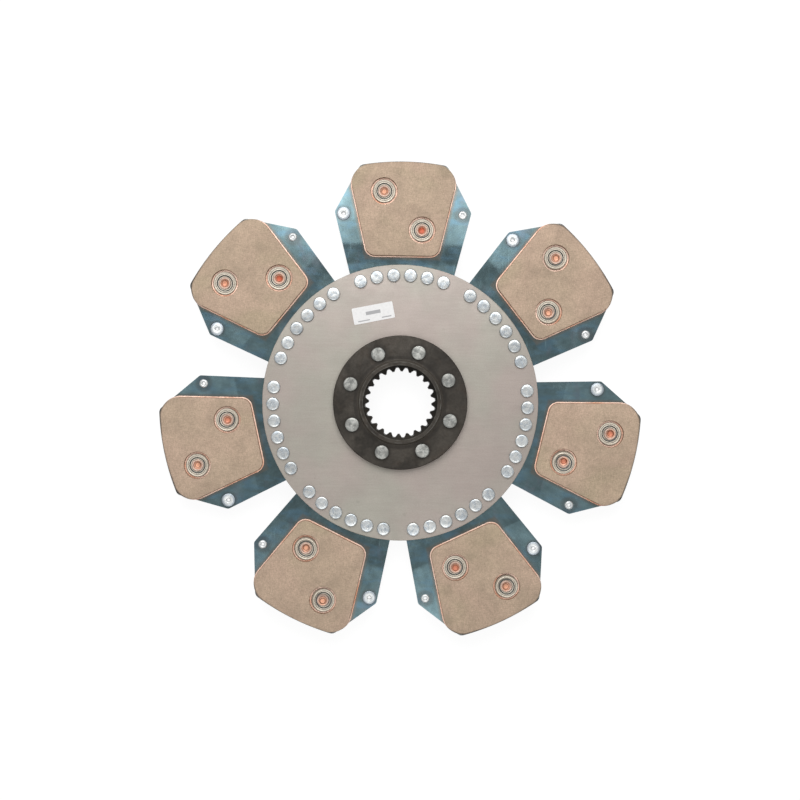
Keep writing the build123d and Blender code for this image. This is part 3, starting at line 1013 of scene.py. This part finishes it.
def space_half_angle(radius):
    """Half the angle of a tooth space at a radius, from its involute flanks."""
    pressure = math.acos(PITCH_R * math.cos(PRESSURE_ANGLE) / radius)
    # The module is the pitch diameter over the teeth
    widening = PROFILE_SHIFT / PITCH_R * math.tan(PRESSURE_ANGLE)
    at_pitch = math.pi / (2 * TEETH) + widening + math.tan(PRESSURE_ANGLE) - PRESSURE_ANGLE
    return at_pitch - (math.tan(pressure) - pressure)


def bore_radius(angle):
    """Radius of the splined bore at an angle from the middle of a tooth space."""
    round_r = ROOT_R - ROOT_ROUND
    floor_half = space_half_angle(round_r)
    if angle < floor_half:
        return round_r + ROOT_ROUND * math.sqrt(1 - (angle / floor_half) ** 2)
    inner, outer = TIP_R, round_r
    if angle > space_half_angle(TIP_R):
        return TIP_R
    for _ in range(30):
        middle = (inner + outer) / 2
        if space_half_angle(middle) > angle:
            inner = middle
        else:
            outer = middle
    return inner


def bore_classes():
    """Distance in samples from the middle of a tooth space, with the bore radius there."""
    step = math.tau / (TEETH * SAMPLES_PER_TOOTH)
    return [(k, bore_radius(k * step)) for k in range(SAMPLES_PER_TOOTH // 2 + 1)]


def sample_of(vertex):
    """Distance in samples from a vertex to the middle of the nearest tooth space."""
    step = math.tau / (TEETH * SAMPLES_PER_TOOTH)
    angle = math.atan2(vertex.co.y, vertex.co.x) - math.radians(SPLINE_TURN)
    place = round(angle / step) % SAMPLES_PER_TOOTH
    return min(place, SAMPLES_PER_TOOTH - place)


class ClutchOperator(bpy.types.Operator):
    """Shared line of the operators"""

    bl_options = {"REGISTER", "UNDO"}


class CLUTCH_OT_hub(ClutchOperator):
    """Turn the hub and form its 24 involute teeth in the bore"""

    bl_idname = "clutch.hub"
    bl_label = "Splined hub"

    def execute(self, context):
        hub = ring("hub", TEETH * SAMPLES_PER_TOOTH, MOUTH_R, HUB_TOP_Z)
        self.front_mouth(hub)
        self.rear_mouth(hub)
        pick(hub, "VERT", lambda v: abs(v.co.z) < SAME)
        extrude_profile(self.outside())
        outward()
        leave()
        smooth(hub, 28)
        dress(hub, "hub", ["splined_hub"], hub_finish(context.scene.clutch_colours))
        return {"FINISHED"}

    @staticmethod
    def front_mouth(hub):
        """Chamfers the front mouth down to the teeth."""
        # The ring is drawn well down, then each vertex rises to the foot of its chamfer
        depth = 30.0
        extrude(-depth)
        for sample, radius in bore_classes():
            pick(hub, "VERT", lambda v: abs(v.co.z - (HUB_TOP_Z - depth) * MM) < SAME
                 and sample_of(v) == sample)
            widen(radius / MOUTH_R)
            shift(0, 0, depth - (MOUTH_R - radius))

    @staticmethod
    def rear_mouth(hub):
        """Runs the teeth through the barrel and chamfers the rear mouth."""
        pick(hub, "VERT", lambda v: v.co.z < (HUB_TOP_Z - 0.01) * MM)
        extrude(-HUB_TOP_Z)
        for sample, radius in bore_classes():
            pick(hub, "VERT", lambda v: v.co.z < -0.01 * MM and sample_of(v) == sample)
            shift(0, 0, 2 * (MOUTH_R - radius))
        pick(hub, "VERT", lambda v: v.co.z < HUB_TOP_Z / 2 * MM)
        extrude(0)
        bpy.ops.transform.resize(value=(1, 1, 0), center_override=(0, 0, 0))
        for sample, radius in bore_classes():
            pick(hub, "VERT", lambda v: abs(v.co.z) < SAME and sample_of(v) == sample)
            widen(MOUTH_R / radius)

    @staticmethod
    def outside():
        """Profile of the outside from the rear face to the front face."""
        edge = FLANGE_EDGE
        return [
            (MOUTH_R, 0),
            (BARREL_R - HUB_EDGE, 0),
            (BARREL_R, HUB_EDGE),
            (BARREL_R, FLANGE_Z),
            (FLANGE_R - edge, FLANGE_Z),
            *arc(FLANGE_R - edge, FLANGE_Z + edge, edge, -90, 0, 4)[1:],
            *arc(FLANGE_R - HUB_EDGE, COLLAR_Z - HUB_EDGE, HUB_EDGE, 0, 90, 6),
            *arc(BARREL_R + COLLAR_FILLET, COLLAR_Z + COLLAR_FILLET, COLLAR_FILLET, 270, 180, 8),
            (BARREL_R, HUB_TOP_Z - HUB_EDGE),
            (BARREL_R - 0.15, HUB_TOP_Z - HUB_EDGE + 0.35),
            (BARREL_R - HUB_EDGE, HUB_TOP_Z),
            (MOUTH_R, HUB_TOP_Z),
        ]


class CLUTCH_OT_carrier(ClutchOperator):
    """Turn the carrier disc with its rounded rim"""

    bl_idname = "clutch.carrier"
    bl_label = "Carrier disc"

    def execute(self, context):
        bore = BARREL_R + HOLE_CLEARANCE
        edge = PLATE_EDGE
        profile = [
            (bore, CARRIER_Z),
            (CARRIER_R - edge, CARRIER_Z),
            *arc(CARRIER_R - edge, CARRIER_Z + edge, edge, -90, 0, 4)[1:],
            *arc(CARRIER_R - edge, FLANGE_Z - edge, edge, 0, 90, 4),
            (bore, FLANGE_Z),
            (bore, CARRIER_Z),
        ]
        carrier = turned("carrier", profile, 480, hollow=True)
        smooth(carrier, 28)
        finish = carrier_finish(context.scene.clutch_colours)
        dress(carrier, "carrier", ["carrier_disc"], finish)
        return {"FINISHED"}


class CLUTCH_OT_leaves(ClutchOperator):
    """Stamp, fold and drill a cushion leaf and copy it to both sides of each paddle"""

    bl_idname = "clutch.leaves"
    bl_label = "Cushion leaves"

    def execute(self, context):
        sizes = context.scene.clutch_sizes
        posts, rim_half = self.posts()
        leaf = wrapped("leaf", posts, DISC_R, rim_half, MID_Z, LEAF_T)
        cut_round(leaf, MID_Z, ([(0, 0)], LEAF_ROOT_R))
        self.fold(leaf, sizes.bend_round)
        edge_spots = [EDGE_RIVET_SPOT, *mirrored([EDGE_RIVET_SPOT])]
        cut_round(leaf, MID_Z, (carrier_rivet_spots(), CARRIER_SHANK_R + HOLE_CLEARANCE),
                  (edge_spots, EDGE_SHANK_R + HOLE_CLEARANCE),
                  (PAD_RIVET_SPOTS, PAD_RIVET_R + HOLE_CLEARANCE),
                  (mirrored(PAD_RIVET_SPOTS), HEAD_HOLE_R))
        round_edges(leaf, sizes.sheet_round, 2)
        # A wider angle would shade the bends into the rounded edge of the sheet
        smooth(leaf, 18)
        leaf.data.materials.append(leaf_finish(context.scene.clutch_colours))
        fill_paddles(leaf, "leaf", "leaf")
        return {"FINISHED"}

    @staticmethod
    def posts():
        """Corner posts of the leaf's outline, and how far out the rim is round."""
        root_x, root_y = carrier_rivet_spots()[0]
        root_x += ROOT_MARGIN
        slope = (WING_X - root_x) / (WING_Y - root_y)
        top_y = math.sqrt(DISC_R ** 2 - TOP_X ** 2)
        side = math.atan(slope)
        lean = math.atan2(WING_X - TOP_X, top_y - WING_Y)
        # A post of the wing's radius touches both straight sides
        reach = WING_ROUND / math.cos((side + lean) / 2)
        turn = (side - lean) / 2
        wing = (WING_X - reach * math.cos(turn), WING_Y + reach * math.sin(turn))
        run = (TOP_X - WING_X) / (top_y - WING_Y)
        top = rim_post(TOP_X - run * top_y, run, DISC_R, TOP_ROUND)
        # The feet lie inside the root's arc, which cuts them off
        foot_y = LEAF_ROOT_R * 0.88
        foot_x = root_x - slope * (root_y - foot_y)
        point = 0.01
        posts = []
        for x, y, radius in ((*wing, WING_ROUND), (*top, TOP_ROUND),
                             (foot_x - point, foot_y, point)):
            posts += [(x, y, radius), (-x, y, radius)]
        return posts, top[0]

    @staticmethod
    def fold(leaf, run):
        """Lifts the wings by two rounded bends across the leaf."""
        edit(leaf)
        for y in (BEND_Y, CREASE_Y):
            take_all()
            bpy.ops.mesh.bisect(plane_co=(0, y * MM, 0), plane_no=(0, 1, 0))
        pick(leaf, "VERT", lambda v: v.co.y > (CREASE_Y - 0.01) * MM)
        shift(0, 0, LEAF_LIFT)
        bends = (BEND_Y * MM, CREASE_Y * MM)

        def across(line):
            """True for an edge that runs from side to side along a bend."""
            a, b = (leaf.data.vertices[i].co for i in line.vertices)
            level = abs(a.y - b.y) < SAME
            on_bend = any(abs(a.y - y) < 10 * SAME for y in bends)
            return level and on_bend and abs(a.x - b.x) > CREASE_LENGTH * MM

        pick(leaf, "EDGE", across)
        bpy.ops.mesh.bevel(offset=run, segments=3, affect="EDGES")
        outward()
        leave()


def rim_post(side_x, slope, rim_r, radius):
    """Middle of a post that touches the rim and the side line x = side_x + slope * y."""
    a = 1 + slope ** 2
    offset = side_x - radius * math.sqrt(a)
    b = offset * slope
    y = (math.sqrt(b ** 2 - a * (offset ** 2 - (rim_r - radius) ** 2)) - b) / a
    return offset + slope * y, y


def facing_posts(step):
    """Corner posts of a backing plate, or of a pad set in from it by a step."""
    cosine, slope = math.cos(FACING_ANGLE), math.tan(FACING_ANGLE)
    side_x = FACING_ROOT_X - slope * BACKING_INNER_Y
    inner_y = BACKING_INNER_Y + FACING_INNER_ROUND
    inner_x = side_x + slope * inner_y - FACING_INNER_ROUND / cosine
    inner = (inner_x, inner_y, FACING_INNER_ROUND - step)
    outer_round = FACING_OUTER_ROUND - step
    outer = (*rim_post(side_x - step / cosine, slope, FACING_R, outer_round), outer_round)
    posts = []
    for x, y, radius in (inner, outer):
        posts += [(x, y, radius), (-x, y, radius)]
    return posts, outer[0]


class CLUTCH_OT_backings(ClutchOperator):
    """Cut the copper-plated backing plates"""

    bl_idname = "clutch.backings"
    bl_label = "Backing plates"

    def execute(self, context):
        sizes, colours = context.scene.clutch_sizes, context.scene.clutch_colours
        posts, rim_half = facing_posts(0)
        plate = wrapped("backing", posts, FACING_R, rim_half, BACKING_Z, BACKING_T)
        plate.data.materials.append(copper_finish(colours))
        plate.data.materials.append(braze_and_shade_finish(colours))
        edit(plate)
        pick(plate, "FACE", lambda face: face.normal.z > 0.9)
        for width, index in ((sizes.copper_line, 1), (PAD_STEP * MM, 0)):
            bpy.ops.mesh.inset(thickness=width)
            plate.active_material_index = index
            bpy.ops.object.material_slot_assign()
        leave()
        cut_round(plate, BACKING_Z, (PAD_RIVET_SPOTS, PAD_RIVET_R + HOLE_CLEARANCE))
        round_edges(plate, sizes.sheet_round * 1.6, 3)
        smooth(plate, 20)
        fill_paddles(plate, "backing", "backing")
        return {"FINISHED"}


class CLUTCH_OT_pads(ClutchOperator):
    """Press the friction pads with their rivet wells"""

    bl_idname = "clutch.pads"
    bl_label = "Friction pads"

    def execute(self, context):
        sizes, colours = context.scene.clutch_sizes, context.scene.clutch_colours
        posts, rim_half = facing_posts(PAD_STEP)
        pad = wrapped("pad", posts, FACING_R, rim_half, PAD_Z, PAD_TOP_Z - PAD_Z)
        edit(pad)
        pick(pad, "FACE", lambda face: face.normal.z > 0.9)
        bpy.ops.mesh.select_mode(type="EDGE")
        bpy.ops.mesh.region_to_loop()
        bpy.ops.mesh.bevel(offset=sizes.pad_round, segments=3, affect="EDGES")
        leave()
        cut_round(pad, PAD_Z, (PAD_RIVET_SPOTS, WELL_R))
        edit(pad)
        pick(pad, "EDGE", lambda line: self.on_well(pad, line))
        bpy.ops.mesh.bevel(offset=sizes.well_round, segments=2, affect="EDGES")
        leave()
        smooth(pad, 20)
        paint(pad, friction_finish(colours), friction_edge_finish(colours),
              lambda face: face.normal.z < 0.6)
        fill_paddles(pad, "pad", "friction")
        return {"FINISHED"}

    @staticmethod
    def on_well(pad, line):
        """True for an edge on the top rim of a rivet well."""
        for index in line.vertices:
            point = pad.data.vertices[index].co
            if abs(point.z - PAD_TOP_Z * MM) > SAME:
                return False
            if all(abs(math.dist((point.x, point.y), (x * MM, y * MM)) - WELL_R * MM)
                   > 0.02 * MM for x, y in PAD_RIVET_SPOTS):
                return False
        return True


class CLUTCH_OT_pad_fasteners(ClutchOperator):
    """Turn the dished washers and the rolled pad rivets"""

    bl_idname = "clutch.pad_fasteners"
    bl_label = "Pad rivets and washers"

    def execute(self, context):
        colours = context.scene.clutch_colours
        washer = turned("washer", self.washer_profile(), 72, hollow=True)
        smooth(washer, 35)
        rivet = turned("pad_rivet", self.rivet_profile(), 64)
        smooth(rivet, 40)
        washer.data.materials.append(washer_finish(colours))
        rivet.data.materials.append(pad_rivet_finish(colours))
        dice = random.Random(11)
        for pattern, name, slot in ((washer, "pad_washers", "washer"),
                                    (rivet, "pad_rivets", "pad_rivet")):
            pair = joined([moved_copy(pattern, f"{name}_{i}", x, y, dice)
                           for i, (x, y) in enumerate(PAD_RIVET_SPOTS)], name + "_pair")
            for side, over in SIDES:
                copies = [paddle_copy(pair, f"{name}_{side}_{k}", k, over)
                          for k in range(PADDLES)]
                dress(joined(copies, f"{name}_{side}"), slot, [f"{side}_{name}"])
            drop(pair)
            drop(pattern)
        return {"FINISHED"}

    @staticmethod
    def washer_profile():
        """Section of the washer: a rounded lip, a shallow ring groove and a dish."""
        hole = PAD_RIVET_R + HOLE_CLEARANCE
        rise = [
            (hole, 0), (8.25, 0), (WASHER_R, 0.15), (WASHER_R, 1.1),
            *arc(8.1, 1.1, 0.3, 0, 90, 4)[1:],
            (7.5, WASHER_T), (7.3, 1.32), (7.1, 1.2), (6.9, 1.2), (6.7, 1.32),
            (6.5, WASHER_T), (6.05, WASHER_T), (5.85, 1.34), (5.6, 1.02), (5.35, 0.7),
            (5.15, WASHER_SEAT),
            (hole, WASHER_SEAT), (hole, 0),
        ]
        return [(r, PAD_Z + z) for r, z in rise]

    @staticmethod
    def rivet_profile():
        """Outline of the rivet from its head between the leaves to the bottom of its bore."""
        face = MID_Z + LEAF_LIFT
        seat = PAD_Z + WASHER_SEAT
        roll = 0.62
        return [
            (0.2, face - PAD_HEAD_H), (PAD_HEAD_R - 0.4, face - PAD_HEAD_H),
            (PAD_HEAD_R - 0.1, face - 0.6), (PAD_HEAD_R, face - 0.3), (PAD_HEAD_R, face),
            (PAD_RIVET_R, face), (PAD_RIVET_R, seat), (3.9, seat),
            *arc(3.78, seat + roll, roll, -80, 100, 10),
            (3.3, seat + 1.16), (2.95, seat + 0.98), (2.75, seat + 0.6), (PAD_BORE_R, seat + 0.1),
            (2.55, face + 2.45), (2.3, face + 2.26), (0.2, face + 2.2),
        ]


class CLUTCH_OT_edge_rivets(ClutchOperator):
    """Turn the tubular edge rivets and set them from both sides"""

    bl_idname = "clutch.edge_rivets"
    bl_label = "Edge rivets"

    def execute(self, context):
        colours = context.scene.clutch_colours
        front = LEAF_TOP_Z
        back = 2 * MID_Z - LEAF_TOP_Z
        profile = [
            (EDGE_BORE_R, back - 0.6), (1.5, back - 0.85), (2.1, back - 0.9),
            (2.8, back - 0.6), (EDGE_TAIL_R, back - 0.25), (EDGE_TAIL_R - 0.1, back),
            (EDGE_SHANK_R, back), (EDGE_SHANK_R, front),
            (EDGE_HEAD_R - 0.1, front), (EDGE_HEAD_R, front + 0.2),
            (EDGE_HEAD_R, front + 0.6), (EDGE_HEAD_R - 0.2, front + 0.9),
            (EDGE_HEAD_R - 0.7, front + 1.05), (2.6, front + 1.1), (1.8, front + 1.04),
            (1.4, front + 0.92), (EDGE_BORE_R, front + 0.7), (EDGE_BORE_R, back - 0.6),
        ]
        tube = turned("edge_rivet", profile, 48, hollow=True)
        smooth(tube, 38)
        dice = random.Random(5)
        tube.data.materials.append(
            rivet_finish("edge_zinc", rgba(colours.zinc, 1.1), colours.zinc_shade, 0.3, 0.42,
                         0.3, 0.05, 2.7))
        x, y = EDGE_RIVET_SPOT
        one = moved_copy(tube, "edge_rivet_one", x, y, dice)
        copies = [paddle_copy(one, f"edge_rivet_{k}_{over}", k, over)
                  for k in range(PADDLES) for over in (False, True)]
        dress(joined(copies, "edge_rivets_all"), "zinc_rivet", ["edge_rivets"])
        drop(one)
        drop(tube)
        return {"FINISHED"}


def head(shank_r, head_r, height, dimple, z, up):
    """Half a rivet profile from the shank over a crowned head to its dimpled middle."""
    sign = 1 if up else -1
    crown = [
        (shank_r, 0), (head_r * 0.985, 0), (head_r, 0.12 * height), (head_r, 0.6 * height),
        (head_r * 0.985, 0.75 * height), (head_r * 0.95, 0.86 * height),
        (head_r * 0.9, 0.925 * height), (head_r * 0.82, 0.96 * height),
        (head_r * 0.64, 0.985 * height), (head_r * 0.42, height),
        (head_r * 0.26, height - 0.35 * dimple), (head_r * 0.13, height - 0.85 * dimple),
        (head_r * 0.04, height - dimple),
    ]
    return [(r, z + sign * h) for r, h in crown]


def set_rivets(node, slot, sizes, form, finish, seed, spots):
    """Turns a solid rivet with a head at both ends and sets it at its spots.

    Its form is the radii of shank and head, the height of a head, the two faces that the
    heads sit on and the number of segments."""
    shank_r, head_r, height, low_z, high_z, segments = form
    height, dimple = height / MM, sizes.head_dimple / MM
    profile = head(shank_r, head_r, height, dimple, low_z, False)[::-1]
    profile += head(shank_r, head_r, height, dimple, high_z, True)
    rivet = turned("rivet", profile, segments)
    smooth(rivet, 50)
    rivet.data.materials.append(finish)
    dice = random.Random(seed)
    copies = [moved_copy(rivet, f"{node}_{i}", x, y, dice) for i, (x, y) in enumerate(spots)]
    dress(joined(copies, node + "_all"), slot, [node])
    drop(rivet)


class CLUTCH_OT_carrier_rivets(ClutchOperator):
    """Set the 42 zinc rivets of the carrier disc"""

    bl_idname = "clutch.carrier_rivets"
    bl_label = "Carrier rivets"

    def execute(self, context):
        sizes, colours = context.scene.clutch_sizes, context.scene.clutch_colours
        finish = rivet_finish("zinc", colours.zinc, colours.zinc_shade, 0.19, 0.29, 0.65, 0.05)
        spots = []
        for paddle in range(PADDLES):
            turn = math.tau * paddle / PADDLES
            spots += [(x * math.cos(turn) - y * math.sin(turn),
                       x * math.sin(turn) + y * math.cos(turn)) for x, y in carrier_rivet_spots()]
        form = (CARRIER_SHANK_R, CARRIER_HEAD_R, sizes.carrier_dome, MID_Z - LEAF_T, FLANGE_Z, 40)
        set_rivets("carrier_rivets", "zinc_rivet", sizes, form, finish, 42, spots)
        return {"FINISHED"}


class CLUTCH_OT_hub_rivets(ClutchOperator):
    """Set the eight rivets of the hub flange"""

    bl_idname = "clutch.hub_rivets"
    bl_label = "Hub rivets"

    def execute(self, context):
        sizes, colours = context.scene.clutch_sizes, context.scene.clutch_colours
        finish = rivet_finish("hub_rivet_steel", colours.hub_rivet, colours.hub_rivet_shade,
                              0.36, 0.5, 0.8, 0.24)
        spots = [round_the_axis(HUB_RIVET_CIRCLE,
                                math.radians(HUB_RIVET_TURN + 360 * i / HUB_RIVETS))
                 for i in range(HUB_RIVETS)]
        form = (HUB_SHANK_R, HUB_HEAD_R, sizes.hub_dome, CARRIER_Z, COLLAR_Z, 48)
        set_rivets("hub_rivets", "hub_rivet", sizes, form, finish, 8, spots)
        return {"FINISHED"}


class CLUTCH_OT_label(ClutchOperator):
    """Stick the blank paper label on the carrier disc"""

    bl_idname = "clutch.label"
    bl_label = "Paper label"

    def execute(self, context):
        deselect()
        bpy.ops.mesh.primitive_plane_add(size=MM)
        label = context.object
        label.name = "label"
        edit(label)
        take_all()
        bpy.ops.transform.resize(value=(*LABEL_SIZE, 1), center_override=(0, 0, 0))
        bpy.ops.mesh.bevel(offset=LABEL_ROUND * MM, segments=5, affect="VERTICES")
        take_all()
        extrude(context.scene.clutch_sizes.label_lift / MM)
        outward()
        take_all()
        turn_about("Z", math.radians(LABEL_TILT), (0, 0, 0))
        shift(*label_middle(), FLANGE_Z)
        leave()
        finish = paper_finish(context.scene.clutch_colours)
        dress(label, "label", ["paper_label"], finish)
        return {"FINISHED"}


def direct_rays(tree, *kinds):
    """1 for rays of the named kinds of light path, and 0 for all others."""
    path = add_node(tree, "LightPath")
    seen = path.outputs[kinds[0]]
    for kind in kinds[1:]:
        seen = add_node(tree, "Math", {0: seen, 1: path.outputs[kind]},
                        operation="MAXIMUM").outputs[0]
    return seen


class CLUTCH_OT_stage(ClutchOperator):
    """Set the pale floor, the soft lamps, the room light and the camera"""

    bl_idname = "clutch.stage"
    bl_label = "Stage"

    def execute(self, context):
        stage = context.scene.clutch_stage
        self.floor()
        self.lamps(stage)
        self.room(context, stage)
        self.camera(context, stage)
        context.scene.view_settings.view_transform = "Standard"
        return {"FINISHED"}

    @staticmethod
    def floor():
        """A plain white floor that keeps a soft shadow and is not seen from below."""
        deselect()
        bpy.ops.mesh.primitive_circle_add(vertices=96, radius=4.0, fill_type="NGON")
        floor = bpy.context.object
        floor.name = "floor"
        material = bpy.data.materials.new("floor_white")
        tree = empty_tree(material)
        white = add_node(tree, "BsdfDiffuse", {"Color": (0.16, 0.16, 0.16, 1)})
        seen = direct_rays(tree, "Is Camera Ray", "Is Glossy Ray")
        glow = add_node(tree, "Emission", {"Color": (0.92, 0.92, 0.92, 1), "Strength": seen})
        both = add_node(tree, "AddShader", {0: white.outputs[0], 1: glow.outputs[0]})
        clear = add_node(tree, "BsdfTransparent")
        side = add_node(tree, "NewGeometry")
        mix = add_node(tree, "MixShader", {0: side.outputs["Backfacing"],
                                           1: both.outputs[0], 2: clear.outputs[0]})
        add_node(tree, "OutputMaterial", {"Surface": mix.outputs[0]})
        floor.data.materials.append(material)

    @staticmethod
    def lamp(name, place, size, power):
        """A square soft lamp aimed at the middle of the disc."""
        bpy.ops.object.light_add(type="AREA", location=place)
        lamp = bpy.context.object
        lamp.name = name
        lamp.data.shape = "SQUARE"
        lamp.data.size = size
        lamp.data.energy = power
        x, y, z = place
        lamp.rotation_euler = (math.atan2(math.hypot(x, y), z), 0,
                               math.atan2(y, x) + math.pi / 2)

    @classmethod
    def lamps(cls, stage):
        """A large key lamp beyond the top of the picture and a weaker fill opposite."""
        cls.lamp("key", (-0.04, 0.605, 1.0), 0.9, stage.key_power)
        cls.lamp("fill", (0.0, -0.68, 1.45), 0.8, stage.fill_power)

    @staticmethod
    def room(context, stage):
        """Even room light, white where the camera, gloss or glass sees it."""
        world = bpy.data.worlds.new("room")
        context.scene.world = world
        tree = empty_tree(world)
        seen = direct_rays(tree, "Is Camera Ray", "Is Glossy Ray", "Is Transmission Ray")
        strength = add_node(tree, "MapRange", {"Value": seen, "To Min": stage.sky_strength,
                                               "To Max": 1.0})
        light = add_node(tree, "Background", {"Color": (1, 1, 1, 1),
                                              "Strength": strength.outputs["Result"]})
        add_node(tree, "OutputWorld", {"Surface": light.outputs[0]})

    @staticmethod
    def camera(context, stage):
        """A camera straight above, placed so that the disc sits as in the picture."""
        picture = 800
        right_of_centre, below_centre = 0.2, 2.6
        pixel = stage.view_width / picture
        roll = stage.camera_roll
        across, up = -right_of_centre * pixel, below_centre * pixel
        bpy.ops.object.camera_add(location=(
            across * math.cos(roll) - up * math.sin(roll),
            across * math.sin(roll) + up * math.cos(roll),
            PAD_TOP_Z * MM + stage.camera_height), rotation=(0, 0, roll))
        camera = context.object
        camera.name = "camera"
        camera.data.sensor_width = 36
        camera.data.lens = 36 * stage.camera_height / stage.view_width
        camera.data.clip_start = 0.05
        camera.data.clip_end = 50
        context.scene.camera = camera


class CLUTCH_PT_panel(bpy.types.Panel):
    """Sidebar panel with the sizes, colours and building steps"""

    bl_idname = "CLUTCH_PT_panel"
    bl_label = "Clutch disc"
    bl_space_type = "VIEW_3D"
    bl_region_type = "UI"
    bl_category = "Clutch disc"

    def draw(self, context):
        for group in ("clutch_sizes", "clutch_colours", "clutch_stage"):
            settings = getattr(context.scene, group)
            box = self.layout.box()
            for name in settings.__annotations__:
                box.prop(settings, name)
        for step in STEPS:
            self.layout.operator(step.bl_idname)


STEPS = (
    CLUTCH_OT_stage,
    CLUTCH_OT_hub,
    CLUTCH_OT_carrier,
    CLUTCH_OT_leaves,
    CLUTCH_OT_backings,
    CLUTCH_OT_pads,
    CLUTCH_OT_pad_fasteners,
    CLUTCH_OT_edge_rivets,
    CLUTCH_OT_carrier_rivets,
    CLUTCH_OT_hub_rivets,
    CLUTCH_OT_label,
)
GROUPS = (CLUTCH_PG_sizes, CLUTCH_PG_colours, CLUTCH_PG_stage)


def register():
    """Adds the classes and their settings."""
    for cls in (*GROUPS, *STEPS, CLUTCH_PT_panel):
        bpy.utils.register_class(cls)
    scene = bpy.types.Scene
    scene.clutch_sizes = bpy.props.PointerProperty(type=CLUTCH_PG_sizes)
    scene.clutch_colours = bpy.props.PointerProperty(type=CLUTCH_PG_colours)
    scene.clutch_stage = bpy.props.PointerProperty(type=CLUTCH_PG_stage)


def unregister():
    """Removes the classes and their settings."""
    scene = bpy.types.Scene
    del scene.clutch_stage, scene.clutch_colours, scene.clutch_sizes
    for cls in reversed((*GROUPS, *STEPS, CLUTCH_PT_panel)):
        bpy.utils.unregister_class(cls)


def main():
    """Builds everything."""
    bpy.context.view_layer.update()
    register()
    bpy.ops.clutch.stage()
    bpy.ops.clutch.hub()
    bpy.ops.clutch.carrier()
    bpy.ops.clutch.leaves()
    bpy.ops.clutch.backings()
    bpy.ops.clutch.pads()
    bpy.ops.clutch.pad_fasteners()
    bpy.ops.clutch.edge_rivets()
    bpy.ops.clutch.carrier_rivets()
    bpy.ops.clutch.hub_rivets()
    bpy.ops.clutch.label()


if __name__ == "__main__":
    main()
